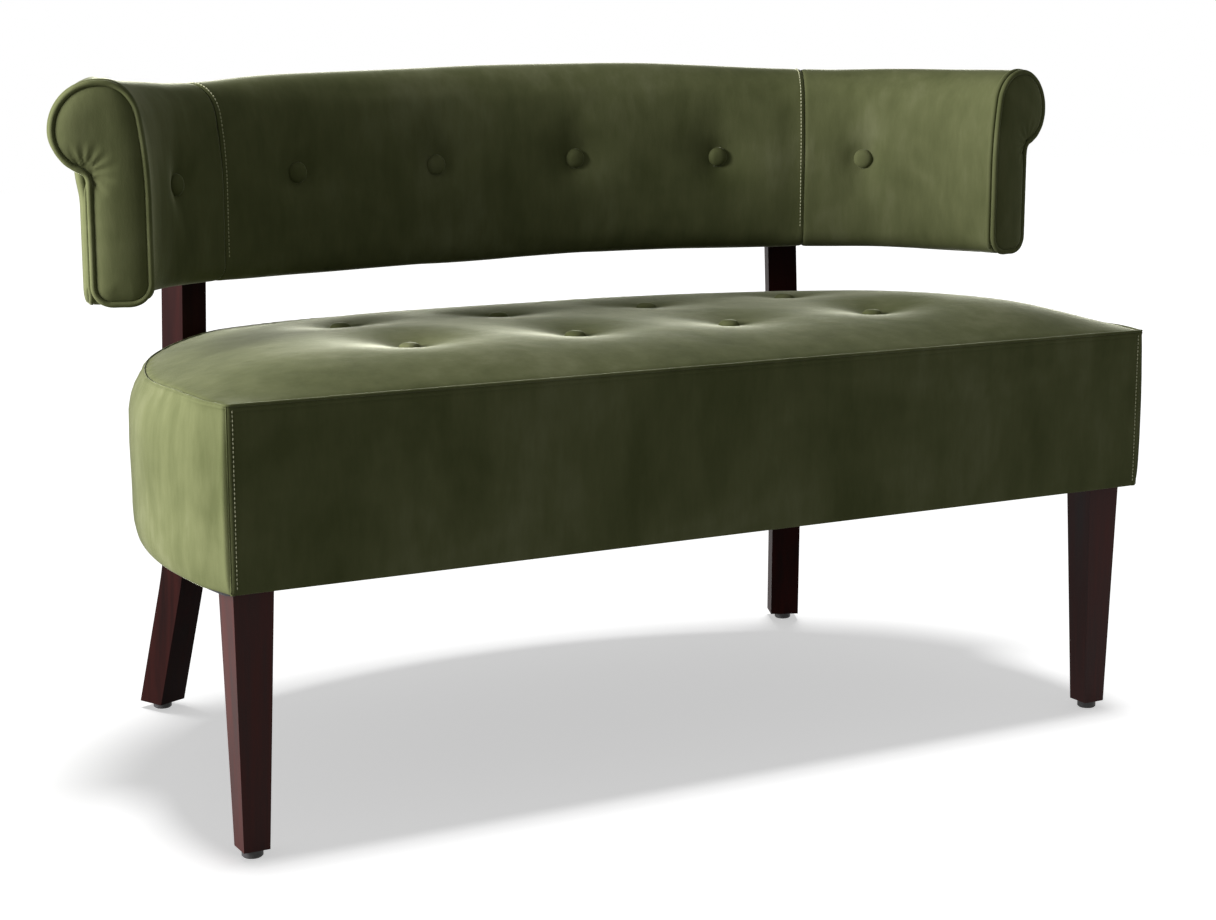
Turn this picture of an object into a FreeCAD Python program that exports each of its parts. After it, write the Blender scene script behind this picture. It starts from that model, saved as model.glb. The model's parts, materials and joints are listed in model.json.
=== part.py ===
import FreeCAD, Part
import math
import os
import Sketcher
from FreeCAD import Placement, Rotation, Vector

# An upholstered two-seat settee: a D-shaped tufted bench seat on four tapered
# wooden legs, with a rolled back and arms in one curved band that the two rear
# legs carry above the seat.
# Millimetres and degrees. +Z is up, the front faces -Y, and the origin is on the
# floor below the middle of the settee. Right is the +X side, seen from the front.

UP = Vector(0, 0, 1)

doc = FreeCAD.newDocument("settee")
sheet = doc.addObject("Spreadsheet::Sheet", "sizes")

DRIVING_SIZES = (
    # Plan of the seat, measured back from its front face.
    ("seat_front_width", 1146),
    ("seat_widest", 1167),
    ("seat_widest_at", 122),
    ("seat_depth", 627),
    ("seat_side_radius", 700),
    ("seat_corner_radius", 290),
    ("seat_back_radius", 990),
    ("seat_front_corner", 12),
    # Heights of the seat.
    ("seat_underside", 280),
    ("seat_edge_height", 466),
    ("seat_crown", 27),
    ("shoulder_inset", 14),
    ("shoulder_height", 26),
    ("crown_flat_inset", 230),
    ("crown_front_inset", 150),
    # Layers.
    ("cover_thickness", 1.5),
    ("layer_gap", 0.3),
    ("wall_padding", 8),
    ("rail_thickness", 22),
    ("bent_rail_thickness", 15),
    ("rail_height", 101),
    ("deck_thickness", 12),
    ("dust_cover_thickness", 0.8),
    # Tufts and covered buttons.
    ("tuft_columns", 4),
    ("tuft_spacing", 200),
    ("tuft_front_row", 170),
    ("tuft_row_gap", 191),
    ("tuft_depth", 12),
    ("tuft_radius", 70),
    ("button_diameter", 25),
    ("button_height", 6.5),
    ("button_margin", 1),
    ("tie_diameter", 2),
    ("tie_clearance", 0.5),
    ("washer_diameter", 18),
    ("washer_thickness", 2),
    # Front legs.
    ("front_leg_top", 42.7),
    ("front_leg_foot", 28),
    ("front_leg_side_inset", 14.5),
    ("front_leg_front_inset", 20.5),
    ("front_leg_outer_taper", 5.2),
    ("leg_bolt_diameter", 8),
    ("leg_bolt_in_leg", 45),
    ("leg_bolt_above_block", 6),
    ("corner_block_size", 62),
    ("corner_block_height", 60),
    ("tee_nut_diameter", 18),
    ("tee_nut_thickness", 2),
    ("bolt_clearance", 0.2),
    # Rear legs, which run up behind the seat to the back.
    ("post_width", 38),
    ("post_depth", 35),
    ("post_turn", 24.5),
    ("post_lean", 1.9),
    ("post_foot_offset", 169),
    ("post_top_gap", 6),
    ("sabre_start", 235),
    ("sabre_radius", 380),
    ("sabre_angle", 13.5),
    ("post_bolt_diameter", 8),
    ("post_bolt_low", 308),
    ("post_bolt_spacing", 48),
    ("post_bolt_head", 20),
    ("bolt_head_thickness", 5),
    ("plug_depth", 8),
    ("plug_dome", 1),
    ("rear_block_width", 130),
    ("rear_block_depth", 42),
    ("nut_across", 13),
    ("nut_thickness", 6.5),
    # Glides.
    ("glide_height", 9),
    ("glide_diameter", 22),
    ("glide_nail_diameter", 3),
    ("glide_nail_length", 16),
    ("glide_chamfer", 1.5),
    # Rails of the seat. The joint is this far from the rear leg, towards the middle.
    ("cross_rail_width", 40),
    ("cross_rail_height", 60),
    ("rail_joint_at", 77),
    ("screw_diameter", 4),
    ("screw_length", 45),
    ("screw_head_diameter", 8),
    ("screw_head_thickness", 3),
    ("end_screw_spread", 360),
    # Section of the back and arms, outward from the inner face.
    ("arm_inner_half", 548),
    ("arm_splay", 13.7),
    ("arm_straight", 13),
    ("band_corner_radius", 278),
    ("band_back_radius", 1220),
    ("band_bottom", 534),
    ("stem_thickness", 63),
    ("roll_radius", 45),
    ("roll_out", 52),
    ("roll_height", 720),
    ("inner_curve_start", 640),
    ("bottom_round", 20),
    ("outside_panel_thickness", 8.7),
    ("outside_panel_margin", 4),
    ("back_board_out", 30),
    ("back_board_thickness", 9),
    ("band_rail_height", 34),
    ("band_top_rail_height", 26),
    ("frame_below_roll_middle", 3),
    ("upright_width", 70),
    ("upright_setback", 5),
    ("end_board_thickness", 12),
    ("seam_heading", 64),
    ("welt_width", 5),
    ("welt_height", 5),
    ("facing_height", 6.5),
    ("facing_round", 3),
    ("front_corner_round", 20),
    # Buttons of the back, their height above its bottom edge.
    ("back_button_height", 116),
    ("back_button_spacing", 192),
    ("arm_button_heading", 48.5),
    ("back_dimple_depth", 9),
    ("back_dimple_radius", 52),
)

for row, (alias, value) in enumerate(DRIVING_SIZES, start=1):
    sheet.set("A%d" % row, alias)
    sheet.set("B%d" % row, str(value))
    sheet.setAlias("B%d" % row, alias)
doc.recompute()


def size(alias):
    """The value of one driving size."""
    return float(sheet.get(alias))


def bind(thing, **sizes):
    """Tie properties of an object to formulas in the driving sizes."""
    for name, formula in sizes.items():
        thing.setExpression(name.replace("__", "."), formula)
    return thing


def polar(centre, radius, angle, height=0.0):
    """The point at a distance and an angle, in degrees from +X, about a centre."""
    turn = math.radians(angle)
    return Vector(centre.x + radius * math.cos(turn), centre.y + radius * math.sin(turn), height)


def arc_about(centre, radius, start, end, height):
    """An arc in plan from one angle to another."""
    middle = (start + end) / 2
    points = [polar(centre, radius, angle, height) for angle in (start, middle, end)]
    return Part.Arc(*points).toShape()


def line(start, end):
    return Part.LineSegment(start, end).toShape()


def angle_of(vector):
    return math.degrees(math.atan2(vector.y, vector.x))


def joined(solids):
    """One solid from pieces that meet face to face."""
    if len(solids) == 1:
        return solids[0]
    return solids[0].multiFuse(solids[1:]).removeSplitter()


def group(solids):
    return Part.makeCompound(solids)


# The plan of the seat and of the band, worked out with y measured from the front
# of the seat, and then moved so that the origin is in the middle of the depth.

half_widest = size("seat_widest") / 2
side_centre = Vector(half_widest - size("seat_side_radius"), size("seat_widest_at"), 0)
rear_centre = Vector(0, size("seat_depth") - size("seat_back_radius"), 0)


def centre_between(first, first_radius, second, second_radius, radius):
    """Centre of a small arc that touches two larger ones from inside, on the +X side."""
    along = second - first
    distance = along.Length
    along.normalize()
    across = Vector(-along.y, along.x, 0)
    reach = first_radius - radius
    other = second_radius - radius
    forward = (reach ** 2 - other ** 2 + distance ** 2) / (2 * distance)
    sideways = math.sqrt(reach ** 2 - forward ** 2)
    return first + along * forward + across * sideways


corner_centre = centre_between(
    side_centre, size("seat_side_radius"), rear_centre, size("seat_back_radius"),
    size("seat_corner_radius"))
side_end = angle_of(corner_centre - side_centre)
corner_end = angle_of(corner_centre - rear_centre)

# The rear leg turns to face the middle of the seat. Its front face stands against
# the rounded rear corner of the seat and against the outside of the back.
post_out = Vector(math.sin(math.radians(size("post_turn"))), math.cos(math.radians(size("post_turn"))), 0)
post_across = Vector(post_out.y, -post_out.x, 0)
post_face = post_out.dot(corner_centre) + size("seat_corner_radius") + size("layer_gap")

band_wall = size("stem_thickness") + size("layer_gap") + size("outside_panel_thickness")
splay = math.radians(size("arm_splay"))
band_corner_x = (size("arm_inner_half") - size("band_corner_radius") * math.cos(splay)
                 - size("arm_straight") * math.sin(splay))
band_reach = post_face - size("layer_gap") - size("band_corner_radius") - band_wall
band_corner = Vector(band_corner_x, (band_reach - post_out.x * band_corner_x) / post_out.y, 0)
back_turn = math.degrees(math.acos(
    band_corner_x / (size("band_back_radius") - size("band_corner_radius"))))
band_rear = polar(band_corner, size("band_corner_radius") - size("band_back_radius"), back_turn)
roll_reach = size("roll_out") + size("roll_radius")
rear_of_all = band_rear.y + size("band_back_radius") + roll_reach
front = -rear_of_all / 2
post_foot = post_out * post_face + post_across * size("post_foot_offset")
for place in (side_centre, rear_centre, corner_centre, band_corner, band_rear, post_foot):
    place.y += front

# Heights of the seat's layers.
frame_bottom = size("seat_underside") + size("dust_cover_thickness") + size("layer_gap")
frame_top = frame_bottom + size("rail_height")
deck_bottom = frame_top + size("layer_gap")
deck_top = deck_bottom + size("deck_thickness")
foam_bottom = deck_top + size("layer_gap")
crown_top = size("seat_edge_height") + size("seat_crown")
padding_inset = size("cover_thickness") + size("layer_gap")
rail_inset = padding_inset + size("wall_padding") + size("layer_gap")
bent_inside = rail_inset + size("bent_rail_thickness")


SMALLEST_CORNER = 2.0


def seat_outline(inset, front_inset, height):
    """The D-shaped outline of the seat, drawn in from its sides and front."""
    side = size("seat_side_radius") - inset
    corner = size("seat_corner_radius") - inset
    rear = size("seat_back_radius") - inset
    round_off = max(size("seat_front_corner") - inset, SMALLEST_CORNER)
    front_y = front + front_inset
    centre_y = front_y + round_off
    reach = math.sqrt((side - round_off) ** 2 - (centre_y - side_centre.y) ** 2)
    round_centre = Vector(side_centre.x + reach, centre_y, 0)
    side_start = angle_of(round_centre - side_centre)
    right = [
        arc_about(round_centre, round_off, -90, side_start, height),
        arc_about(side_centre, side, side_start, side_end, height),
        arc_about(corner_centre, corner, side_end, corner_end, height),
    ]
    left = [edge.mirror(Vector(0, 0, 0), Vector(1, 0, 0)) for edge in reversed(right)]
    rear_edge = arc_about(rear_centre, rear, corner_end, 180 - corner_end, height)
    front_edge = line(
        Vector(-round_centre.x, front_y, height), Vector(round_centre.x, front_y, height))
    return Part.Wire(Part.__sortEdges__([front_edge] + right + [rear_edge] + left))


def seat_prism(inset, bottom, top):
    """A slab with the seat's outline, drawn in evenly."""
    face = Part.Face(seat_outline(inset, inset, bottom))
    return face.extrude(Vector(0, 0, top - bottom))


def seat_ring(outer_inset, inner_inset, bottom, top):
    """A wall that follows the seat's outline."""
    return seat_prism(outer_inset, bottom, top).cut(seat_prism(inner_inset, bottom, top))


def slab(x_from, x_to, y_from, y_to, z_from, z_to):
    return Part.makeBox(x_to - x_from, y_to - y_from, z_to - z_from, Vector(x_from, y_from, z_from))


WIDE = 2000.0


def tuft_places():
    """Plan positions of the seat's tufts, row by row."""
    columns = int(size("tuft_columns"))
    first = -(columns - 1) / 2 * size("tuft_spacing")
    rows = (size("tuft_front_row"), size("tuft_front_row") + size("tuft_row_gap"))
    return [(first + column * size("tuft_spacing"), front + back)
            for back in rows for column in range(columns)]


# How far the mouth of a tuft stands above the crown, so that it cuts right through.
TUFT_LIP = 1.0


def dimple(depth, radius, rise, lift):
    """A funnel that a buttoned tuft pulls into padding, mouth up, round the Z axis."""
    waist = size("button_diameter") / 2 + size("button_margin")
    run = radius - waist
    drop = depth + rise
    flare = (run ** 2 + drop ** 2) / (2 * drop)
    half = math.asin(run / flare) / 2
    bottom = Vector(waist, 0, -depth)
    rim = Vector(radius, 0, rise)
    middle = Vector(radius - flare * math.sin(half), 0, rise - flare + flare * math.cos(half))
    outline = [
        line(Vector(0, 0, -depth), bottom),
        Part.Arc(bottom, middle, rim).toShape(),
        line(rim, Vector(radius, 0, lift)),
        line(Vector(radius, 0, lift), Vector(0, 0, lift)),
        line(Vector(0, 0, lift), Vector(0, 0, -depth)),
    ]
    return Part.Face(Part.Wire(outline)).revolve(Vector(0, 0, 0), UP, 360)


# How the side walls round over, and how the crown rises from the front's top edge
# and the shoulders: shares of the distance inward and of the rise.
SHOULDER_CURVE = ((0, 0), (0.3, 0.6), (1, 1))
CROWN_CURVE = ((0, 0), (0.15, 0.30), (0.40, 0.65), (0.70, 0.91), (1, 1))


def seat_block(inset, bottom):
    """The padded seat: straight walls, rounded shoulders, a crown and its tufts."""
    edge = size("seat_edge_height") - inset
    wall_top = edge - size("shoulder_height")
    shoulder = size("shoulder_inset")
    crown = size("seat_crown")
    flat = size("crown_flat_inset")
    front_flat = size("crown_front_inset")
    wall = seat_prism(inset, bottom, wall_top)
    shoulders = Part.makeLoft([
        seat_outline(inset + shoulder * inward, inset, wall_top + size("shoulder_height") * rise)
        for inward, rise in SHOULDER_CURVE], True, False)
    pillow = Part.makeLoft([
        seat_outline(inset + shoulder + flat * inward, inset + front_flat * inward, edge + crown * rise)
        for inward, rise in CROWN_CURVE], True, False)
    block = wall.multiFuse([shoulders, pillow])
    funnel = dimple(size("tuft_depth"), size("tuft_radius"), TUFT_LIP, 2 * size("seat_crown"))
    for x, y in tuft_places():
        placed = funnel.copy()
        placed.translate(Vector(x, y, edge + crown))
        block = block.cut(placed)
    return block


def upright_rods(places, diameter, bottom, top):
    """Round rods or holes that stand at places in plan."""
    return [Part.makeCylinder(diameter / 2, top - bottom, Vector(x, y, bottom)) for x, y in places]


def add_shape(label, shape):
    """A sub-part whose shape follows the sheet through the functions above."""
    feature = doc.addObject("Part::Feature", label)
    feature.Shape = shape.Solids[0] if len(shape.Solids) == 1 else shape
    feature.Placement = Placement()
    return feature


parts = []


def keep(label, thing):
    thing.Label = label
    parts.append(thing)
    return thing


def mirrored(label, source):
    """The left-hand twin of a right-hand sub-part."""
    twin = doc.addObject("Part::Mirroring", label)
    twin.Source = source
    twin.Normal = Vector(1, 0, 0)
    twin.Base = Vector(0, 0, 0)
    return keep(label, twin)


def pair(name, right):
    keep(name + "_right", right)
    mirrored(name + "_left", right)


def cut_from(name, base, tool):
    result = doc.addObject("Part::Cut", name)
    result.Base = base
    result.Tool = tool
    return result


def compound_of(name, things):
    result = doc.addObject("Part::Compound", name)
    result.Links = things
    return result


def cylinder(name, radius, height, place):
    rod = doc.addObject("Part::Cylinder", name)
    rod.Placement = place
    return bind(rod, Radius=radius, Height=height)


def sketch_on(body, role, name):
    """A sketch on one of the body's own origin planes."""
    sketch = body.newObject("Sketcher::SketchObject", name)
    plane = [item for item in body.Origin.OriginFeatures if item.Role == role][0]
    sketch.AttachmentSupport = [(plane, "")]
    sketch.MapMode = "FlatFace"
    return sketch


def pin_point(sketch, edge, end, place, formulas, tag):
    """Hold a sketch point at formulas in the driving sizes."""
    origin, x_axis, y_axis = -1, -1, -2
    if formulas[0] == "0":
        sketch.addConstraint(Sketcher.Constraint("PointOnObject", edge, end, y_axis))
    else:
        index = sketch.addConstraint(Sketcher.Constraint("DistanceX", origin, 1, edge, end, place.x))
        sketch.renameConstraint(index, tag + "_across")
        sketch.setExpression("Constraints.%s_across" % tag, formulas[0])
    if formulas[1] == "0":
        sketch.addConstraint(Sketcher.Constraint("PointOnObject", edge, end, x_axis))
    else:
        index = sketch.addConstraint(Sketcher.Constraint("DistanceY", origin, 1, edge, end, place.y))
        sketch.renameConstraint(index, tag + "_up")
        sketch.setExpression("Constraints.%s_up" % tag, formulas[1])


def value_of(formula):
    """The number that a formula in the driving sizes gives."""
    return float(sheet.evalExpression(formula))


def closed_outline(sketch, outline):
    """Draw straight edges through points given as formulas."""
    points = [Vector(value_of(x), value_of(y), 0) for x, y in outline]
    count = len(points)
    for index in range(count):
        sketch.addGeometry(Part.LineSegment(points[index], points[(index + 1) % count]), False)
    for index in range(count):
        sketch.addConstraint(Sketcher.Constraint("Coincident", index, 2, (index + 1) % count, 1))
    for index, formulas in enumerate(outline):
        pin_point(sketch, index, 1, points[index], formulas, "point_%d" % index)


def turned(name, outline):
    """A round piece, turned from half its outline about its own Z axis."""
    body = doc.addObject("PartDesign::Body", name)
    sketch = sketch_on(body, "XZ_Plane", name + "_outline")
    closed_outline(sketch, outline)
    turn = body.newObject("PartDesign::Revolution", name + "_turn")
    turn.Profile = sketch
    turn.ReferenceAxis = (sketch, ["V_Axis"])
    turn.Angle = 360
    body.Tip = turn
    doc.recompute()
    return body


def sawn_block(name, length, width, height):
    """A rectangular block with its base centred on its own origin."""
    body = doc.addObject("PartDesign::Body", name)
    sketch = sketch_on(body, "XY_Plane", name + "_outline")
    half_x = "(%s) / 2" % length
    half_y = "(%s) / 2" % width
    closed_outline(sketch, [
        ("-" + half_x, "-" + half_y), (half_x, "-" + half_y),
        (half_x, half_y), ("-" + half_x, half_y)])
    pad = body.newObject("PartDesign::Pad", name + "_pad")
    pad.Profile = sketch
    bind(pad, Length=height)
    body.Tip = pad
    doc.recompute()
    return body


def drilled(body, name, holes, diameter):
    """Round holes right through a block, along its Z axis."""
    sketch = sketch_on(body, "XY_Plane", name)
    for index, (x, y) in enumerate(holes):
        centre = Vector(value_of(x), value_of(y), 0)
        sketch.addGeometry(Part.Circle(centre, UP, value_of(diameter) / 2), False)
        pin_point(sketch, index, 3, centre, (x, y), "hole_%d" % index)
        rule = sketch.addConstraint(Sketcher.Constraint("Diameter", index, value_of(diameter)))
        sketch.renameConstraint(rule, "hole_%d_diameter" % index)
        sketch.setExpression("Constraints.hole_%d_diameter" % index, diameter)
    pocket = body.newObject("PartDesign::Pocket", name + "_drill")
    pocket.Profile = sketch
    pocket.Type = "ThroughAll"
    pocket.Reversed = True
    before = body.Shape.Volume
    body.Tip = pocket
    doc.recompute()
    if body.Shape.Volume >= before:
        raise ValueError(name + " cuts nothing")
    return body


def copies(shape, placements):
    """The same piece at several places."""
    pieces = []
    for placement in placements:
        piece = shape.copy()
        piece.Placement = placement.multiply(piece.Placement)
        pieces.append(piece)
    return group(pieces)


# The front legs.

leg_top = frame_bottom - size("layer_gap")
leg_outer = size("seat_front_width") / 2 - size("front_leg_side_inset")
leg_front = front + size("front_leg_front_inset")
leg_middle = Vector(leg_outer - size("front_leg_top") / 2, leg_front + size("front_leg_top") / 2, 0)
foot_from_edge = size("front_leg_outer_taper") + size("front_leg_foot") / 2
foot_middle = Vector(leg_outer - foot_from_edge, leg_front + foot_from_edge, 0)


def front_leg():
    """A square tapered leg, whose inner faces slope more than its outer ones."""
    blank = doc.addObject("Part::Wedge", "front_leg_blank")
    blank.Ymin = 0
    blank.X2min = 0
    blank.Z2min = 0
    bind(blank, Xmin="sizes.front_leg_outer_taper",
         Xmax="sizes.front_leg_outer_taper + sizes.front_leg_foot",
         Zmin="sizes.front_leg_top - sizes.front_leg_outer_taper - sizes.front_leg_foot",
         Zmax="sizes.front_leg_top - sizes.front_leg_outer_taper",
         X2max="sizes.front_leg_top", Z2max="sizes.front_leg_top",
         Ymax="sizes.seat_underside + sizes.dust_cover_thickness - sizes.glide_height")
    along_z = Rotation(Vector(1, 1, 1), 120)
    corner = Vector(leg_outer - size("front_leg_top"), leg_front, size("glide_height"))
    blank.Placement = Placement(corner, along_z)
    bolt_hole = cylinder(
        "leg_bolt_hole", "sizes.leg_bolt_diameter / 2 + sizes.bolt_clearance",
        "sizes.leg_bolt_in_leg * 2",
        Placement(leg_middle + UP * (leg_top - size("leg_bolt_in_leg") - size("layer_gap")), Rotation()))
    nail_hole = cylinder(
        "leg_nail_hole", "sizes.glide_nail_diameter / 2 + sizes.bolt_clearance",
        "sizes.glide_nail_length + sizes.layer_gap",
        Placement(foot_middle + UP * size("glide_height"), Rotation()))
    return cut_from("front_leg_cut", blank, compound_of("front_leg_holes", [bolt_hole, nail_hole]))


pair("front_leg", front_leg())

# The rear legs. Each is sawn from one board: upright behind the seat and the back,
# and swept back below the seat. Its own X axis runs outward from its front face.

post_turned = Rotation(UP, 90 - size("post_turn"))
post_tilted = post_turned * Rotation(Vector(1, 0, 0), -size("post_lean"))
post_top = size("roll_height") - size("roll_radius") - size("post_top_gap")


def post_spot(out, height):
    """A point on the leg's middle line, at a height and a distance behind its front face."""
    along = height / math.cos(math.radians(size("post_lean")))
    return Placement(post_foot, post_tilted).multVec(Vector(out, 0, along))


def rear_leg_blank():
    """The sawn board, before it is drilled."""
    depth = size("post_depth")
    start = size("sabre_start")
    reach = size("sabre_radius")
    sweep = math.radians(size("sabre_angle"))
    centre = Vector(reach, 0, start)

    def on_sabre(radius, turn):
        return centre + Vector(-radius * math.cos(turn), 0, -radius * math.sin(turn))

    def at_floor(place):
        return place + Vector(math.tan(sweep), 0, -1) * place.z

    front_end = on_sabre(reach, sweep)
    rear_end = on_sabre(reach - depth, sweep)
    outline = [
        line(Vector(0, 0, post_top), Vector(0, 0, start)),
        Part.Arc(Vector(0, 0, start), on_sabre(reach, sweep / 2), front_end).toShape(),
        line(front_end, at_floor(front_end)),
        line(at_floor(front_end), at_floor(rear_end)),
        line(at_floor(rear_end), rear_end),
        Part.Arc(rear_end, on_sabre(reach - depth, sweep / 2), Vector(depth, 0, start)).toShape(),
        line(Vector(depth, 0, start), Vector(depth, 0, post_top)),
        line(Vector(depth, 0, post_top), Vector(0, 0, post_top)),
    ]
    face = Part.Face(Part.Wire(outline))
    face.translate(Vector(0, -size("post_width") / 2, 0))
    board = face.extrude(Vector(0, size("post_width"), 0))
    board.Placement = Placement(post_foot, post_tilted)
    return board.cut(slab(-WIDE, WIDE, -WIDE, WIDE, -WIDE, size("glide_height")))


leg_board = rear_leg_blank()


def rear_foot_middle():
    """The middle of the rear foot, where its glide is nailed on."""
    foot = slab(-WIDE, WIDE, -WIDE, WIDE, 0, size("glide_height") + 1)
    middle = leg_board.common(foot).Solids[0].CenterOfMass
    return Vector(middle.x, middle.y, 0)


rear_foot = rear_foot_middle()


def bolt_heights():
    low = size("post_bolt_low")
    return (low, low + size("post_bolt_spacing"))


def screw_heights():
    """Where the rear leg is screwed to the frame of the back."""
    middle = (size("band_bottom") + post_top) / 2
    return (middle - size("post_bolt_spacing") / 2, middle + size("post_bolt_spacing") / 2)


def through_post(height, out):
    """Placement on the leg's line of bolts, with its Z axis pointing outward."""
    axis_turn = post_turned * Rotation(Vector(0, 1, 0), 90)
    return Placement(post_spot(out, height), axis_turn)


def rear_leg():
    """The rear leg with its bolt holes, counterbores and the hole for its glide."""
    board = add_shape("rear_leg_board", leg_board)
    tools = []
    for number, height in enumerate(bolt_heights() + screw_heights()):
        tools.append(cylinder(
            "post_hole_%d" % number, "sizes.post_bolt_diameter / 2 + sizes.bolt_clearance",
            "2 * sizes.post_depth", through_post(height, -size("post_depth") / 2)))
        tools.append(cylinder(
            "post_counterbore_%d" % number, "sizes.post_bolt_head / 2 + sizes.bolt_clearance",
            "sizes.post_depth",
            through_post(height, size("post_depth") - size("bolt_head_thickness") - size("plug_depth"))))
    tools.append(cylinder(
        "rear_nail_hole", "sizes.glide_nail_diameter / 2 + sizes.bolt_clearance",
        "sizes.glide_nail_length + sizes.layer_gap",
        Placement(rear_foot + UP * size("glide_height"), Rotation())))
    return cut_from("rear_leg_cut", board, compound_of("rear_leg_holes", tools))


pair("rear_leg", rear_leg())


def glide(name, place):
    """A nail-on glide: a chamfered disc with its nail up the foot."""
    radius = "sizes.glide_diameter / 2"
    nail = "sizes.glide_nail_diameter / 2"
    body = turned(name, [
        ("0", "0"), (radius + " - sizes.glide_chamfer", "0"), (radius, "sizes.glide_chamfer"),
        (radius, "sizes.glide_height"),
        (nail, "sizes.glide_height"), (nail, "sizes.glide_height + sizes.glide_nail_length"),
        ("0", "sizes.glide_height + sizes.glide_nail_length")])
    body.Placement = Placement(place, Rotation())
    return body


pair("front_glide", glide("front_glide", foot_middle))
pair("rear_glide", glide("rear_glide", rear_foot))


# The wooden frame of the seat.

def deck_screw_places():
    """Where the deck is screwed to the rails, in plan."""
    front_line = front + rail_inset + size("rail_thickness") / 2
    middle = size("bent_rail_thickness") / 2 + rail_inset
    side = polar(side_centre, size("seat_side_radius") - middle, side_end / 2)
    corner = polar(corner_centre, size("seat_corner_radius") - middle, (side_end + corner_end) / 2)
    rear = polar(rear_centre, size("seat_back_radius") - middle, 90 - (90 - corner_end) / 3)
    places = [(0, front_line)]
    for sign in (-1, 1):
        places.append((sign * size("end_screw_spread"), front_line))
        places += [(sign * place.x, place.y) for place in (side, corner, rear)]
    return places


def wood_screw():
    """A countersunk screw. It points down, its head is on top, and its origin is its point."""
    shank = "sizes.screw_diameter / 2"
    head = "sizes.screw_head_diameter / 2"
    return turned("wood_screw", [
        ("0", "0"), (shank, "sizes.screw_diameter"),
        (shank, "sizes.screw_length - sizes.screw_head_thickness"),
        (head, "sizes.screw_length"), ("0", "sizes.screw_length")])


def screw_holes():
    """Countersunk holes for the deck's screws."""
    radius = size("screw_diameter") / 2 + size("bolt_clearance")
    mouth = size("screw_head_diameter") / 2 + size("bolt_clearance")
    sink = size("screw_head_thickness")
    length = size("screw_length") + size("layer_gap")
    holes = []
    for x, y in deck_screw_places():
        holes.append(Part.makeCylinder(radius, length, Vector(x, y, deck_top - length)))
        holes.append(Part.makeCone(radius, mouth, sink, Vector(x, y, deck_top - sink)))
    return holes


def rail_blank(bottom, top):
    return seat_ring(rail_inset, bent_inside, bottom, top)


def bolt_holes(heights):
    """Holes for the bolts of both rear legs, from the legs inward."""
    rods = []
    reach = 3 * size("post_depth")
    radius = size("post_bolt_diameter") / 2 + size("bolt_clearance")
    for height in heights:
        rod = Part.makeCylinder(radius, reach)
        rod.Placement = through_post(height, size("layer_gap") - reach)
        rods += [rod, rod.mirror(Vector(0, 0, 0), Vector(1, 0, 0))]
    return rods


behind_front_rail = front + rail_inset + size("rail_thickness") + size("layer_gap")
rail_joint = post_foot.x - size("rail_joint_at")


def front_rail():
    reach = front + rail_inset + size("rail_thickness")
    rail = seat_prism(rail_inset, frame_bottom, frame_top).common(
        slab(-WIDE, WIDE, -WIDE, reach, 0, WIDE))
    return rail.cut(group(screw_holes()))


def side_rail():
    rail = rail_blank(frame_bottom, frame_top).common(
        slab(rail_joint, WIDE, behind_front_rail, WIDE, 0, WIDE))
    return rail.cut(group(screw_holes() + bolt_holes(bolt_heights())))


def back_rail():
    reach = rail_joint - size("layer_gap")
    rail = rail_blank(frame_bottom, frame_top).common(slab(-reach, reach, 0, WIDE, 0, WIDE))
    return rail.cut(group(screw_holes()))


keep("seat_front_rail", add_shape("seat_front_rail", front_rail()))
pair("seat_side_rail", add_shape("seat_side_rail", side_rail()))
keep("seat_back_rail", add_shape("seat_back_rail", back_rail()))


def cross_rail():
    """A brace from the front rail to the back rail, under the deck."""
    middle = size("tuft_spacing")
    half = size("cross_rail_width") / 2
    bottom = frame_top - size("cross_rail_height")
    inside = seat_prism(bent_inside + size("layer_gap"), bottom, frame_top)
    return inside.common(slab(middle - half, middle + half, behind_front_rail, WIDE, 0, WIDE))


pair("seat_cross_rail", add_shape("seat_cross_rail", cross_rail()))


def front_corner_block():
    """The block above each front leg, drilled for the leg's bolt."""
    start = behind_front_rail
    top = frame_bottom + size("corner_block_height")
    inside = seat_prism(bent_inside + size("layer_gap"), frame_bottom, top)
    block = inside.common(slab(
        leg_middle.x - size("corner_block_size") / 2, WIDE,
        start, start + size("corner_block_size"), 0, WIDE))
    bore = size("leg_bolt_diameter") / 2 + size("bolt_clearance")
    return block.cut(Part.makeCylinder(bore, WIDE, Vector(leg_middle.x, leg_middle.y, 0)))


def rear_corner_block():
    """The block inside the seat that each rear leg is bolted to."""
    inside = seat_prism(bent_inside + size("layer_gap"), frame_bottom, frame_top)
    wall = bent_inside + 2 * size("layer_gap")
    depth = size("rear_block_depth")
    width = size("rear_block_width")
    around = Part.makeBox(2 * depth, width, WIDE, Vector(-wall - depth, -width / 2, 0))
    around.Placement = Placement(Vector(post_foot.x, post_foot.y, 0), post_turned).multiply(around.Placement)
    lean_shift = math.tan(math.radians(size("post_lean"))) * frame_bottom
    around.translate(post_across * -lean_shift)
    holes = group(bolt_holes(bolt_heights()))
    return inside.common(around).cut(holes)


pair("front_corner_block", add_shape("front_corner_block", front_corner_block()))
pair("rear_corner_block", add_shape("rear_corner_block", rear_corner_block()))


def both_sides(places):
    """The places on the right, and their twins on the left."""
    return places + [Vector(-place.x, place.y, place.z) for place in places]


def mirrored_copies(shape, placements):
    """Copies at several places on the right, and their twins on the left."""
    right = copies(shape, placements)
    return group([right, right.mirror(Vector(0, 0, 0), Vector(1, 0, 0))])


# Hardware of the legs.

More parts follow.
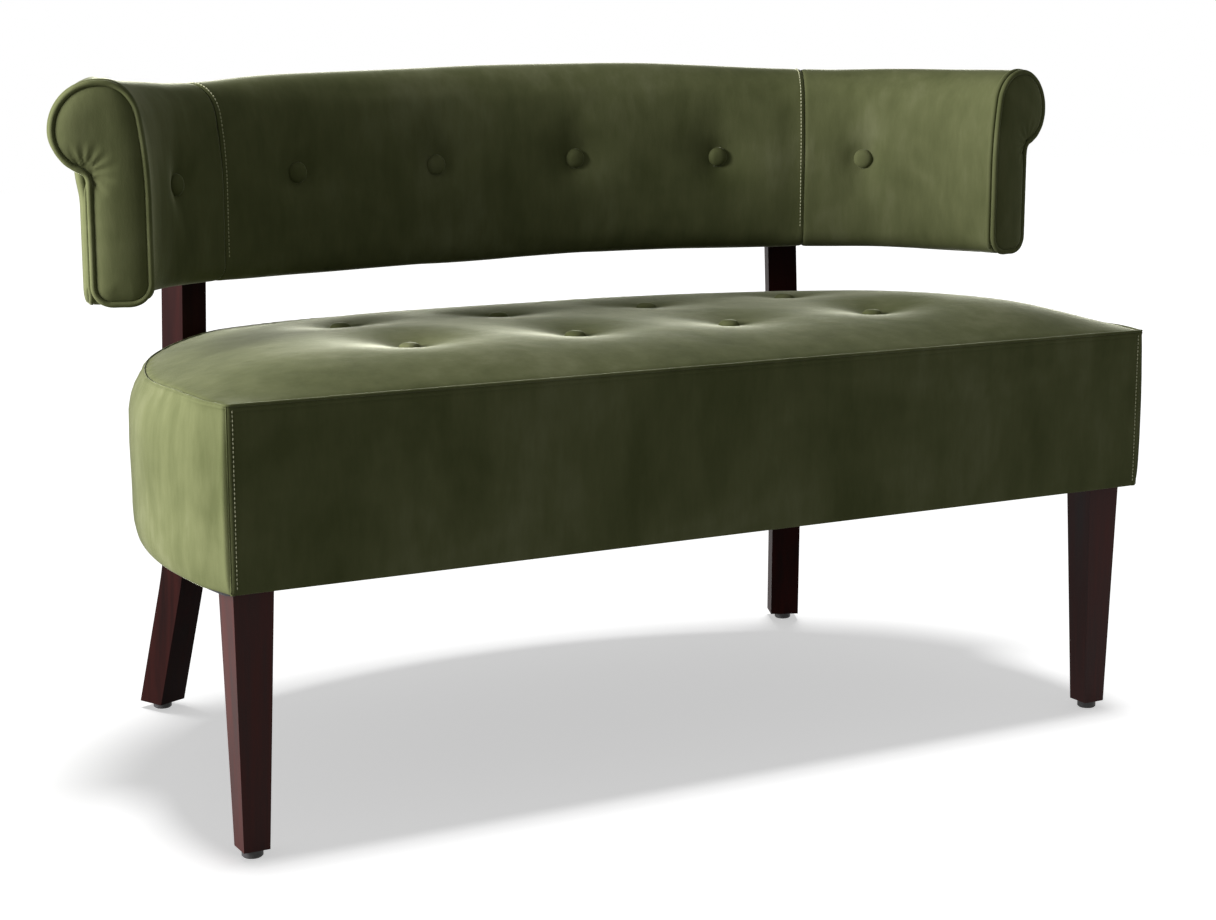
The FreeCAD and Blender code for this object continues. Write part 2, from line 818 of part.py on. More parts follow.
def leg_bolt():
    """A stud, screwed into the front leg, with a slightly pointed foot."""
    radius = "sizes.leg_bolt_diameter / 2"
    length = "sizes.leg_bolt_in_leg + sizes.corner_block_height + sizes.leg_bolt_above_block"
    return turned("leg_bolt", [
        ("0", "0"), ("sizes.leg_bolt_diameter / 4", "0"), (radius, "sizes.leg_bolt_diameter / 2"),
        (radius, length), ("0", length)])


def ring_piece(name, bore, outer, thickness):
    """A round washer."""
    return turned(name, [(bore, "0"), (outer, "0"), (outer, thickness), (bore, thickness)])


def headed_bolt(name, length):
    """A round-headed bolt. Its shank starts at its origin and its head is on top."""
    shank = "sizes.post_bolt_diameter / 2"
    head = "sizes.post_bolt_head / 2"
    top = "%s + sizes.bolt_head_thickness" % length
    return turned(name, [
        ("0", "0"), (shank, "0"), (shank, length), (head, length), (head, top), ("0", top)])


bolt_foot = Vector(leg_middle.x, leg_middle.y, leg_top - size("leg_bolt_in_leg"))
keep("front_leg_bolts", add_shape("front_leg_bolts", copies(
    leg_bolt().Shape, [Placement(place, Rotation()) for place in both_sides([bolt_foot])])))

tee_nut = ring_piece("tee_nut", "sizes.leg_bolt_diameter / 2 + sizes.bolt_clearance",
                     "sizes.tee_nut_diameter / 2", "sizes.tee_nut_thickness")
nut_seat = Vector(leg_middle.x, leg_middle.y, frame_bottom + size("corner_block_height"))
keep("front_leg_tee_nuts", add_shape("front_leg_tee_nuts", copies(
    tee_nut.Shape, [Placement(place, Rotation()) for place in both_sides([nut_seat])])))

# The bolts of the rear legs. Their heads sit at the floor of the counterbores.
head_floor = size("post_depth") - size("plug_depth") - size("bolt_head_thickness")
block_inside = -(bent_inside + 2 * size("layer_gap") + size("rear_block_depth"))
seat_bolt_end = block_inside - size("washer_thickness") - size("nut_thickness") - size("layer_gap") * 2


def head_length(end):
    return "%.3f + sizes.post_depth - sizes.plug_depth - sizes.bolt_head_thickness" % -end


seat_bolt = headed_bolt("seat_post_bolt", head_length(seat_bolt_end))
keep("seat_post_bolts", add_shape("seat_post_bolts", mirrored_copies(
    seat_bolt.Shape, [through_post(height, seat_bolt_end) for height in bolt_heights()])))

bolt_washer = ring_piece("bolt_washer", "sizes.post_bolt_diameter / 2 + sizes.bolt_clearance",
                         "sizes.washer_diameter / 2", "sizes.washer_thickness")
washer_at = block_inside - size("washer_thickness")
keep("seat_post_washers", add_shape("seat_post_washers", mirrored_copies(
    bolt_washer.Shape, [through_post(height, washer_at) for height in bolt_heights()])))


def hexagon_nut():
    """A nut, drilled for the bolt."""
    prism = doc.addObject("Part::Prism", "nut_blank")
    prism.Polygon = 6
    bind(prism, Circumradius="sizes.nut_across / sqrt(3)", Height="sizes.nut_thickness")
    bore = cylinder("nut_bore", "sizes.post_bolt_diameter / 2 + sizes.bolt_clearance",
                    "sizes.nut_thickness", Placement())
    nut = cut_from("post_nut", prism, bore)
    doc.recompute()
    return nut


nut_at = washer_at - size("nut_thickness")
keep("seat_post_nuts", add_shape("seat_post_nuts", mirrored_copies(
    hexagon_nut().Shape, [through_post(height, nut_at) for height in bolt_heights()])))

plug = turned("plug", [
    ("0", "0"), ("sizes.post_bolt_head / 2", "0"),
    ("sizes.post_bolt_head / 2", "sizes.plug_depth - sizes.layer_gap"),
    ("sizes.post_bolt_head / 4", "sizes.plug_depth + sizes.plug_dome"),
    ("0", "sizes.plug_depth + sizes.plug_dome")])
plug_at = head_floor + size("bolt_head_thickness")
keep("post_plugs", add_shape("post_plugs", mirrored_copies(
    plug.Shape, [through_post(height, plug_at) for height in bolt_heights() + screw_heights()])))

# The deck, the padding and the covers of the seat.


def tie_holes(bottom, top):
    return upright_rods(tuft_places(), size("tie_diameter") + 2 * size("tie_clearance"), bottom, top)


def deck():
    board = seat_prism(rail_inset, deck_bottom, deck_top)
    return board.cut(group(tie_holes(0, WIDE) + screw_holes()))


def deck_screws():
    """Countersunk screws, their heads level with the top of the deck."""
    return copies(wood_screw().Shape, [
        Placement(Vector(x, y, deck_top - size("screw_length")), Rotation())
        for x, y in deck_screw_places()])


def seat_foam():
    return seat_block(padding_inset, foam_bottom).cut(group(tie_holes(0, WIDE)))


def side_padding():
    inner = padding_inset + size("wall_padding")
    padding = seat_ring(padding_inset, inner, frame_bottom, deck_top)
    holes = bolt_holes(bolt_heights())
    return padding.cut(group(holes))


keep("seat_deck", add_shape("seat_deck", deck()))
keep("deck_screws", add_shape("deck_screws", deck_screws()))
keep("seat_side_padding", add_shape("seat_side_padding", side_padding()))
keep("seat_foam", add_shape("seat_foam", seat_foam()))

seat_shell = seat_block(0, size("seat_underside")).cut(
    seat_block(size("cover_thickness"), size("seat_underside") - 1))


def seat_top_cover():
    above = slab(-WIDE, WIDE, -WIDE, WIDE, size("seat_edge_height"), WIDE)
    return seat_shell.common(above).cut(group(tie_holes(0, WIDE)))


def seat_front_cover():
    reach = front + size("seat_front_corner")
    return seat_shell.common(
        slab(-WIDE, WIDE, -WIDE, reach, 0, size("seat_edge_height")))


def seat_side_cover():
    reach = front + size("seat_front_corner")
    cover = seat_shell.common(slab(-WIDE, WIDE, reach, WIDE, 0, size("seat_edge_height")))
    holes = bolt_holes(bolt_heights())
    return cover.cut(group(holes))


def dust_cover():
    """The cloth stapled under the frame, cut out round the front legs."""
    top = size("seat_underside") + size("dust_cover_thickness")
    cloth = seat_prism(padding_inset, size("seat_underside"), top)
    half = size("front_leg_top") / 2 + size("layer_gap")
    for side in (-1, 1):
        middle = side * leg_middle.x
        cloth = cloth.cut(slab(middle - half, middle + half,
                               leg_middle.y - half, leg_middle.y + half, 0, WIDE))
    return cloth


keep("seat_top_cover", add_shape("seat_top_cover", seat_top_cover()))
keep("seat_front_cover", add_shape("seat_front_cover", seat_front_cover()))
keep("seat_side_cover", add_shape("seat_side_cover", seat_side_cover()))
keep("dust_cover", add_shape("dust_cover", dust_cover()))

# Covered buttons, with the ties that hold them down and the washers behind.

covered_button = turned("covered_button", [
    ("0", "0"), ("sizes.button_diameter / 2", "0"),
    ("sizes.button_diameter / 2", "sizes.button_height * 0.35"),
    ("sizes.button_diameter * 0.42", "sizes.button_height * 0.72"),
    ("sizes.button_diameter * 0.25", "sizes.button_height * 0.94"), ("0", "sizes.button_height")])
tie_washer = ring_piece("tie_washer", "sizes.tie_diameter / 2 + sizes.tie_clearance",
                        "sizes.washer_diameter / 2", "sizes.washer_thickness")
tuft_floor = crown_top - size("tuft_depth")
washer_floor = deck_bottom - size("washer_thickness")


def at_tufts(height):
    return [Placement(Vector(x, y, height), Rotation()) for x, y in tuft_places()]


keep("seat_buttons", add_shape("seat_buttons", copies(covered_button.Shape, at_tufts(tuft_floor))))
keep("seat_button_ties", add_shape("seat_button_ties", group(
    upright_rods(tuft_places(), size("tie_diameter"), washer_floor, tuft_floor))))
keep("seat_button_washers", add_shape("seat_button_washers", copies(
    tie_washer.Shape, at_tufts(washer_floor))))

# The curved band of back and arms. Its section is drawn with X outward from the
# inner face and Z up, and is carried along the band by turning about the centres
# of its three arcs. A heading is the angle of the outward direction from +X.

RIGHT_FRONT = size("arm_splay")
LEFT_FRONT = 180 - RIGHT_FRONT
RIGHT_SEAM = size("seam_heading")
SEAM_GAP = math.degrees(size("layer_gap") / size("band_corner_radius"))
LEFT_SEAM = 180 - RIGHT_SEAM
roll_middle = Vector(size("roll_out"), 0, size("roll_height"))


def on_circle(centre, radius, angle):
    turn = math.radians(angle)
    return centre + Vector(radius * math.cos(turn), 0, radius * math.sin(turn))


def roll_underside(out, inset):
    """Height of the underside of the roll at a distance from the inner face."""
    radius = size("roll_radius") - inset
    return size("roll_height") - math.sqrt(radius ** 2 - (out - size("roll_out")) ** 2)


def band_section(inset, outer, outer_round=0):
    """The rolled outline of the band, drawn in evenly, with its stem cut at a distance out."""
    radius = size("roll_radius")
    start = size("inner_curve_start")
    rise = size("roll_height") - start
    curve = (size("roll_out") ** 2 + rise ** 2 - radius ** 2) / (2 * (size("roll_out") - radius))
    curve_middle = Vector(curve, 0, start)
    away = roll_middle - curve_middle
    meet = math.degrees(math.atan2(away.z, away.x))
    radius -= inset
    curve -= inset
    base = size("band_bottom")
    bottom_round = size("bottom_round")
    round_middle = Vector(bottom_round, 0, base + bottom_round)
    under = Vector(outer, 0, roll_underside(outer, inset))
    end = math.degrees(math.atan2(under.z - roll_middle.z, under.x - roll_middle.x))
    half_way = (meet + end) / 2
    stem_foot = [line(under, Vector(outer, 0, base + inset)),
                 line(Vector(outer, 0, base + inset), Vector(bottom_round, 0, base + inset))]
    if outer_round:
        corner = outer_round - inset
        foot_middle = Vector(outer - corner, 0, base + inset + corner)
        stem_foot = [
            line(under, Vector(outer, 0, foot_middle.z)),
            Part.Arc(Vector(outer, 0, foot_middle.z), on_circle(foot_middle, corner, 315),
                     Vector(foot_middle.x, 0, base + inset)).toShape(),
            line(Vector(foot_middle.x, 0, base + inset), Vector(bottom_round, 0, base + inset)),
        ]
    outline = [
        line(Vector(inset, 0, base + bottom_round), Vector(inset, 0, start)),
        Part.Arc(Vector(inset, 0, start), on_circle(curve_middle, curve, (180 + meet) / 2),
                 on_circle(curve_middle, curve, meet)).toShape(),
        Part.Arc(on_circle(roll_middle, radius, meet), on_circle(roll_middle, radius, (meet + half_way) / 2),
                 on_circle(roll_middle, radius, half_way)).toShape(),
        Part.Arc(on_circle(roll_middle, radius, half_way),
                 on_circle(roll_middle, radius, (half_way + end) / 2), under).toShape(),
        *stem_foot,
        Part.Arc(Vector(bottom_round, 0, base + inset),
                 on_circle(round_middle, bottom_round - inset, 225),
                 Vector(inset, 0, base + bottom_round)).toShape(),
    ]
    return Part.Face(Part.Wire(outline))


def rectangle_section(out_from, out_to, bottom, top):
    corners = [Vector(out_from, 0, bottom), Vector(out_to, 0, bottom),
               Vector(out_to, 0, top), Vector(out_from, 0, top)]
    return Part.Face(Part.makePolygon(corners + corners[:1]))


def section_less(face, hole):
    return face.cut(hole).Faces[0]


def section_at(face, centre, radius, heading):
    """A section stood up on the band at a heading."""
    placed = face.copy()
    placed.translate(Vector(radius, 0, 0))
    placed.rotate(Vector(0, 0, 0), UP, heading)
    placed.translate(centre)
    return placed


def swept(face, start, end):
    """The solid that a section leaves between two headings."""
    left_corner = Vector(-band_corner.x, band_corner.y, 0)
    corner_radius = size("band_corner_radius")
    spans = (
        (band_corner, corner_radius, RIGHT_FRONT, back_turn),
        (band_rear, size("band_back_radius"), back_turn, 180 - back_turn),
        (left_corner, corner_radius, 180 - back_turn, LEFT_FRONT),
    )
    solids = []
    for centre, radius, first, last in spans:
        first, last = max(first, start), min(last, end)
        if last > first:
            placed = section_at(face, centre, radius, first)
            solids.append(placed.revolve(centre, UP, last - first))
    return joined(solids)


forward = Vector(math.sin(splay), -math.cos(splay), 0)


def arm_front_piece(face, start, length):
    """A section carried straight forward from the front end of the right arm's curve."""
    placed = section_at(face, band_corner, size("band_corner_radius"), RIGHT_FRONT)
    placed.translate(forward * start)
    return placed.extrude(forward * length)


def arm_piece(face):
    """A section carried from the front of the right arm to its seam with the back."""
    return joined([arm_front_piece(face, 0, size("arm_straight")),
                   swept(face, RIGHT_FRONT, RIGHT_SEAM - SEAM_GAP)])


def band_place(heading, out, height):
    """A placement on the band, with its Z axis pointing at the sitter."""
    if heading < back_turn:
        spot = polar(band_corner, size("band_corner_radius") + out, heading, height)
    else:
        spot = polar(band_rear, size("band_back_radius") + out, heading, height)
    facing = Rotation(UP, heading) * Rotation(Vector(0, 1, 0), -90)
    return Placement(spot, facing)


def back_button_headings():
    """Headings of the buttons on the right half of the back, and of the one on the arm."""
    headings = []
    for place in (0.5, 1.5):
        across = place * size("back_button_spacing")
        headings.append(math.degrees(math.acos(across / size("band_back_radius"))))
    return headings + [size("arm_button_heading")]


def at_back_buttons(out):
    height = size("band_bottom") + size("back_button_height")
    return [band_place(heading, out, height) for heading in back_button_headings()]


def back_dimples(out):
    """The funnels that the back's buttons pull, and the holes for their ties."""
    tools = []
    lift = 4 * size("back_dimple_depth")
    radius = size("tie_diameter") / 2 + size("tie_clearance")
    for placement, bend in zip(at_back_buttons(out), (
            size("band_back_radius"), size("band_back_radius"), size("band_corner_radius"))):
        rise = size("back_dimple_radius") ** 2 / (2 * bend)
        funnel = dimple(size("back_dimple_depth"), size("back_dimple_radius"), rise, lift)
        hole = Part.makeCylinder(radius, 2 * size("stem_thickness"), Vector(0, 0, -size("stem_thickness")))
        for tool in (funnel, hole):
            tool.Placement = placement
            tools += [tool, tool.mirror(Vector(0, 0, 0), Vector(1, 0, 0))]
    return tools


def less_each(shape, tools):
    for tool in tools:
        shape = shape.cut(tool)
    return shape


stem = size("stem_thickness")
skin_section = band_section(0, stem)
under_skin_section = band_section(size("cover_thickness"), stem + size("cover_thickness"))
frame_low = size("band_bottom") + padding_inset + size("layer_gap")
board_top = size("roll_height") - size("frame_below_roll_middle")
board_out = size("back_board_out")
rail_out = board_out + size("back_board_thickness") + size("layer_gap")
rail_reach = stem - 2 * size("layer_gap")
foam_section = section_less(
    band_section(padding_inset, stem - size("layer_gap")),
    rectangle_section(board_out - size("layer_gap"), stem, 0, board_top + size("layer_gap")))
outside_out = stem + size("layer_gap")
outside_section = rectangle_section(
    outside_out, outside_out + size("outside_panel_thickness"),
    size("band_bottom") + size("outside_panel_margin"),
    roll_underside(stem, 0) - size("outside_panel_margin"))


def back_board():
    """The bent board that runs from arm to arm inside the band."""
    board = swept(rectangle_section(
        board_out, board_out + size("back_board_thickness"), frame_low, board_top),
        RIGHT_FRONT, LEFT_FRONT)
    return board.cut(group(back_tie_holes()))


def back_tie_holes():
    radius = size("tie_diameter") / 2 + size("tie_clearance")
    holes = []
    for placement in at_back_buttons(0):
        hole = Part.makeCylinder(radius, 2 * size("stem_thickness"), Vector(0, 0, -size("stem_thickness")))
        hole.Placement = placement.multiply(hole.Placement)
        holes += [hole, hole.mirror(Vector(0, 0, 0), Vector(1, 0, 0))]
    return holes


def band_rail(bottom, top):
    return swept(rectangle_section(rail_out, rail_reach, bottom, top), RIGHT_FRONT, LEFT_FRONT)


bottom_rail_top = frame_low + size("band_rail_height")
top_rail_bottom = board_top - size("band_top_rail_height")

keep("back_board", add_shape("back_board", back_board()))
keep("back_bottom_rail", add_shape("back_bottom_rail", band_rail(frame_low, bottom_rail_top)))
keep("back_top_rail", add_shape("back_top_rail", band_rail(top_rail_bottom, board_top)))


def back_upright():
    """The block between the back's rails that a rear leg is screwed to."""
    low_face = "sizes.band_bottom + sizes.cover_thickness + 2 * sizes.layer_gap + sizes.band_rail_height"
    high_face = "sizes.roll_height - sizes.frame_below_roll_middle - sizes.band_top_rail_height"
    body = sawn_block(
        "back_upright", "%s - (%s) - 2 * sizes.layer_gap" % (high_face, low_face), "sizes.upright_width",
        "sizes.stem_thickness - sizes.upright_setback - sizes.back_board_out - sizes.back_board_thickness")
    middle = (top_rail_bottom + bottom_rail_top) / 2
    bores = []
    for height in screw_heights():
        below = middle - height
        bores.append(("%.4f" % below, "%.4f * tan(sizes.post_lean)" % -below))
    drilled(body, "upright_bore", bores, "sizes.post_bolt_diameter + 2 * sizes.bolt_clearance")
    turn = post_turned * Rotation(Vector(0, 1, 0), 90)
    body.Placement = Placement(post_spot(rail_out - band_wall - size("layer_gap"), middle), turn)
    doc.recompute()
    return body


pair("back_upright", back_upright())


front_round = size("front_corner_round")


def end_board():
    """The shaped board that closes the front of an arm."""
    thickness = size("end_board_thickness")
    face = band_section(padding_inset + size("layer_gap"), stem - 2 * size("layer_gap"), front_round)
    return arm_front_piece(face, size("layer_gap"), thickness)


pair("arm_end_board", add_shape("arm_end_board", end_board()))

skin_dimples = back_dimples(0)
under_skin_dimples = back_dimples(size("cover_thickness"))
foam_dimples = back_dimples(padding_inset)
screw_tools = bolt_holes(screw_heights())


def inside_back_foam():
    return less_each(swept(foam_section, RIGHT_SEAM, LEFT_SEAM), foam_dimples)


def inside_arm_foam():
    return less_each(swept(foam_section, RIGHT_FRONT, RIGHT_SEAM - SEAM_GAP), foam_dimples)


def inside_back_cover():
    """The cover's outer form less the form under it, each with its own dimples."""
    outer = less_each(swept(skin_section, RIGHT_SEAM, LEFT_SEAM), skin_dimples)
    return outer.cut(less_each(swept(under_skin_section, RIGHT_SEAM, LEFT_SEAM), under_skin_dimples))


def inside_arm_cover():
    outer = less_each(arm_piece(skin_section), skin_dimples)
    return outer.cut(less_each(arm_piece(under_skin_section), under_skin_dimples))


def outside_back_cover():
    return less_each(swept(outside_section, RIGHT_SEAM, LEFT_SEAM), screw_tools)


def outside_arm_cover():
    return less_each(arm_piece(outside_section), screw_tools)


keep("inside_back_foam", add_shape("inside_back_foam", inside_back_foam()))
pair("inside_arm_foam", add_shape("inside_arm_foam", inside_arm_foam()))
keep("inside_back_cover", add_shape("inside_back_cover", inside_back_cover()))
pair("inside_arm_cover", add_shape("inside_arm_cover", inside_arm_cover()))
keep("outside_back_cover", add_shape("outside_back_cover", outside_back_cover()))
pair("outside_arm_cover", add_shape("outside_arm_cover", outside_arm_cover()))

# The front panels of the arms, each in a ring of piping.

front_end = size("arm_straight") + size("layer_gap")


def arm_welt():
    width = size("welt_width")
    ring = section_less(band_section(size("layer_gap"), stem - size("layer_gap"), front_round),
                        band_section(width, stem - width, front_round))
    return arm_front_piece(ring, front_end, size("welt_height"))


def arm_facing():
    """The padded front panel, its front edge rounded."""
    inset = size("welt_width") + size("layer_gap")
    face = band_section(inset, stem - inset, front_round)
    panel = arm_front_piece(face, front_end, size("facing_height"))
    front_face = max(panel.Faces, key=lambda face: face.CenterOfMass.dot(forward))
    return panel.makeFillet(size("facing_round"), front_face.Edges)


pair("arm_welt", add_shape("arm_welt", arm_welt()))
pair("arm_facing", add_shape("arm_facing", arm_facing()))

# The buttons of the back, their ties and washers, and the screws of the rear legs.

washer_back = board_out + size("back_board_thickness") + size("washer_thickness")
keep("back_buttons", add_shape("back_buttons", mirrored_copies(
    covered_button.Shape, at_back_buttons(size("back_dimple_depth")))))
keep("back_button_washers", add_shape("back_button_washers", mirrored_copies(
    tie_washer.Shape, at_back_buttons(washer_back))))


def back_button_ties():
    length = washer_back - size("back_dimple_depth")
    rod = Part.makeCylinder(size("tie_diameter") / 2, length)
    return mirrored_copies(rod, at_back_buttons(washer_back))


keep("back_button_ties", add_shape("back_button_ties", back_button_ties()))

back_screw_end = rail_out - band_wall
back_screw = headed_bolt("back_post_screw", head_length(back_screw_end))
keep("back_post_screws", add_shape("back_post_screws", mirrored_copies(
    back_screw.Shape, [through_post(height, back_screw_end) for height in screw_heights()])))

doc.recompute()

for thing in doc.Objects:
    if "Invalid" in thing.State or "Error" in thing.State:
        raise ValueError("%s did not rebuild: %s" % (thing.Label, thing.State))
for thing in parts:
    if thing.Shape.isNull() or not thing.Shape.isValid() or not thing.Shape.Solids:
        raise ValueError("%s has no sound solid" % thing.Label)

os.makedirs("parts", exist_ok=True)
for thing in parts:
    thing.Shape.exportStep("parts/%s.step" % thing.Label)
print("%d sub-parts" % len(parts))
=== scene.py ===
import bmesh
import bpy
import json
import numpy as np
from math import acos, asin, atan2, cos, degrees, pi, radians, sin, sqrt
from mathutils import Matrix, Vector
from mathutils.geometry import delaunay_2d_cdt


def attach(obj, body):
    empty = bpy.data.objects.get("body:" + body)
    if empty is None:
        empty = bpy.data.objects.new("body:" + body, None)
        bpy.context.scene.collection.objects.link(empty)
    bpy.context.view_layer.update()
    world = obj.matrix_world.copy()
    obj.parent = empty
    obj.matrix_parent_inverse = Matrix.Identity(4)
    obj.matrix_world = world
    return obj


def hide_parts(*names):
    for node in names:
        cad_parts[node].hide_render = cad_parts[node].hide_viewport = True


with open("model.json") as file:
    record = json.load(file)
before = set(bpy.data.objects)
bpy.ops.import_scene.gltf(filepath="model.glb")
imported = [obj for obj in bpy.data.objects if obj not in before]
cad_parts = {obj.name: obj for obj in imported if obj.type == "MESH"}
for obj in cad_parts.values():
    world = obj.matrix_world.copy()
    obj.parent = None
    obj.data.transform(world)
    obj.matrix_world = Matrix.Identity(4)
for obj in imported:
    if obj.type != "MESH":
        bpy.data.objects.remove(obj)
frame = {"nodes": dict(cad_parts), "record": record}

# The dressed settee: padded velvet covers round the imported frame.
# Metres. Right is +X, the front faces -Y, and the origin is on the floor.
# The band is the curved wall of back and arms. A point of it is given by s, the distance
# along it from its middle, by out, the distance outward from its inner face, and by z.

scene = bpy.context.scene
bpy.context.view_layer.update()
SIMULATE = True
SIDES = (("right", 1), ("left", -1))


# Curves and lines

def smooth(edge0, edge1, x):
    """0 up to the first edge and 1 past the second, with a soft ramp between them."""
    t = np.clip((np.asarray(x, float) - edge0) / (edge1 - edge0), 0, 1)
    return t * t * (3 - 2 * t)


def bump(x, width):
    """A bell of height 1 round 0."""
    return np.exp(-(np.asarray(x, float) / width) ** 2)


def quarter_round(depth, reach):
    """The rise of a quarter circle, from 0 to 1 over the reach."""
    return np.sqrt(np.clip(1 - (1 - np.clip(depth / reach, 0, 1)) ** 2, 0, 1))


def round_drop(radius, over):
    """How far a rounded corner has fallen away at a distance past its start."""
    over = np.clip(over, 0, radius)
    return radius - np.sqrt(np.clip(radius ** 2 - over ** 2, 0, None))


def wavy(points, scale, seed):
    """Smooth noise from a few sine waves, about -1 to 1."""
    draws = np.random.default_rng(seed)
    waves, level = 7, 3.2
    total = np.zeros(len(points))
    for _ in range(waves):
        direction = draws.normal(size=3)
        direction /= np.linalg.norm(direction)
        wave = 2 * pi / (scale * draws.uniform(0.6, 1.6))
        total += np.sin(points @ direction * wave + draws.uniform(0, 2 * pi))
    return total / level


def unit(vectors):
    return vectors / np.maximum(np.linalg.norm(vectors, axis=-1, keepdims=True), 1e-12)


def together(*columns):
    """Columns of numbers side by side, each spread to the shape of them all."""
    return np.stack(np.broadcast_arrays(*columns), -1)


def left_of(along):
    """Unit normals to the left of plan directions."""
    along = unit(along)
    return together(-along[:, 1], along[:, 0])


def line_normals(line):
    return left_of(np.gradient(line, axis=0))


def arc_points(across, up, radius, first, last, count):
    """Points of an arc round a centre, between two angles in degrees."""
    turn = np.radians(np.linspace(first, last, count))
    return together(across + radius * np.cos(turn), up + radius * np.sin(turn))


def run_length(line):
    """The distance along a line at each of its points."""
    return np.concatenate([[0], np.cumsum(np.linalg.norm(np.diff(line, axis=0), axis=1))])


def sampled(at, run, values):
    """Values known along a line, at other distances along it."""
    return np.stack([np.interp(at, run, column) for column in values.T], -1)


def without_repeats(line, least=1e-9):
    step = np.linalg.norm(np.diff(line, axis=0), axis=1)
    return line[np.concatenate([[True], step > least])]


def resample(line, spacing):
    """Even points along a line, its ends kept."""
    line = without_repeats(line)
    run = run_length(line)
    count = max(int(round(run[-1] / spacing)), 2) + 1
    return sampled(np.linspace(0, run[-1], count), run, line)


# Meshes

def mesh_piece(name, verts, faces, material=None, slot=None):
    """A new object, shaded smooth. With a slot it rides on the root."""
    mesh = bpy.data.meshes.new(name)
    mesh.from_pydata([tuple(v) for v in np.asarray(verts, float)], [],
                     [tuple(int(i) for i in f) for f in faces])
    mesh.validate()
    mesh.update()
    mesh.polygons.foreach_set("use_smooth", [True] * len(mesh.polygons))
    piece = bpy.data.objects.new(name, mesh)
    scene.collection.objects.link(piece)
    if material:
        mesh.materials.append(material)
    if slot:
        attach(piece, "root")
    return piece


def tidy_normals(piece):
    work = bmesh.new()
    work.from_mesh(piece.data)
    bmesh.ops.recalc_face_normals(work, faces=work.faces)
    work.to_mesh(piece.data)
    work.free()


def velvet_piece(name, verts, faces, fill, *stands_for):
    """A padded piece of velvet, with the nodes that it shows in place of."""
    piece = mesh_piece(name, verts, faces, velvet, "velvet")
    tidy_normals(piece)
    if stands_for:
        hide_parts(*stands_for)


def grid_faces(rows, columns, wrap_rows=False, wrap_columns=False, start=0, flip=False):
    """Four-sided faces between the points of a grid."""
    faces = []
    for i in range(rows if wrap_rows else rows - 1):
        for j in range(columns if wrap_columns else columns - 1):
            below, right = (i + 1) % rows, (j + 1) % columns
            a, b, c, d = (start + row * columns + column for row, column in
                          ((i, j), (i, right), (below, right), (below, j)))
            faces.append((a, d, c, b) if flip else (a, b, c, d))
    return faces


def grid_normals(grid):
    return unit(np.cross(np.gradient(grid, axis=0), np.gradient(grid, axis=1)))


def walls(upper, lower):
    """Faces between two closed rings of points, by their numbers."""
    return [(a, b, d, c) for a, b, c, d in zip(upper, upper[1:] + upper[:1],
                                               lower, lower[1:] + lower[:1])]


def closed_shell(grid, inner):
    """One closed mesh from an outer grid and an inner grid with the same layout."""
    rows, columns = grid.shape[:2]
    shift = rows * columns
    at = np.arange(shift).reshape(rows, columns)
    border = [*at[:, 0], *at[-1, 1:], *at[-2::-1, -1], *at[0, -2:0:-1]]
    faces = (grid_faces(rows, columns) + grid_faces(rows, columns, start=shift, flip=True)
             + walls(border, [i + shift for i in border]))
    return np.concatenate([grid.reshape(-1, 3), inner.reshape(-1, 3)]), faces


def closed_fill(top, faces, boundary, base):
    """One closed mesh from a filled top and the points below its boundary's."""
    under = list(range(len(top), len(top) + len(boundary)))
    return np.concatenate([top, base]), faces + walls(boundary, under) + [tuple(under)]


def edge_distance(points, line):
    """Distance of plan points to a closed line, a batch of points at a time."""
    start_at, end_at = line, np.roll(line, -1, axis=0)
    edge = (end_at - start_at)[None]
    batch = 4000
    best = np.full(len(points), 1e9)
    for first in range(0, len(points), batch):
        p = points[first:first + batch, None, :]
        t = ((p - start_at[None]) * edge).sum(-1) / np.maximum((edge ** 2).sum(-1), 1e-18)
        near = start_at[None] + edge * np.clip(t, 0, 1)[..., None]
        best[first:first + batch] = np.sqrt(((p - near) ** 2).sum(-1)).min(1)
    return best


def inside_of(points, line):
    """Which plan points a closed line holds."""
    x, y = points[:, 0], points[:, 1]
    inside = np.zeros(len(points), bool)
    for (x1, y1), (x2, y2) in zip(line, np.roll(line, -1, axis=0)):
        crosses = (y1 > y) != (y2 > y)
        cut = (x2 - x1) * (y - y1) / (y2 - y1 if y2 != y1 else 1e-12) + x1
        inside ^= crosses & (x < cut)
    return inside


def filled(line, spacing, extra=(), margin=0.6):
    """Triangles that fill a closed outline, with even points inside it and any extra ones.

    The even points keep a margin from the outline, in spacings. Gives the points, the
    faces and the numbers of the outline's points.
    """
    low, high = line.min(0), line.max(0)
    pitch = spacing * sqrt(3) / 2
    inner = np.array([(x, y) for k, y in enumerate(np.arange(low[1], high[1], pitch))
                      for x in np.arange(low[0] + (k % 2) * spacing / 2, high[0], spacing)])
    inner = inner[inside_of(inner, line)]
    inner = inner[edge_distance(inner, line) > spacing * margin]
    points = [Vector(p) for p in np.concatenate([line, inner, *extra])]
    count = len(line)
    edges = [(i, (i + 1) % count) for i in range(count)]
    fill_inside, reach = 1, 1e-7
    found, _, faces, origin, _, _ = delaunay_2d_cdt(points, edges, [], fill_inside, reach)
    place = {min(olds): new for new, olds in enumerate(origin) if olds}
    return (np.array([tuple(p) for p in found]), [tuple(f) for f in faces],
            [place[i] for i in range(count)])


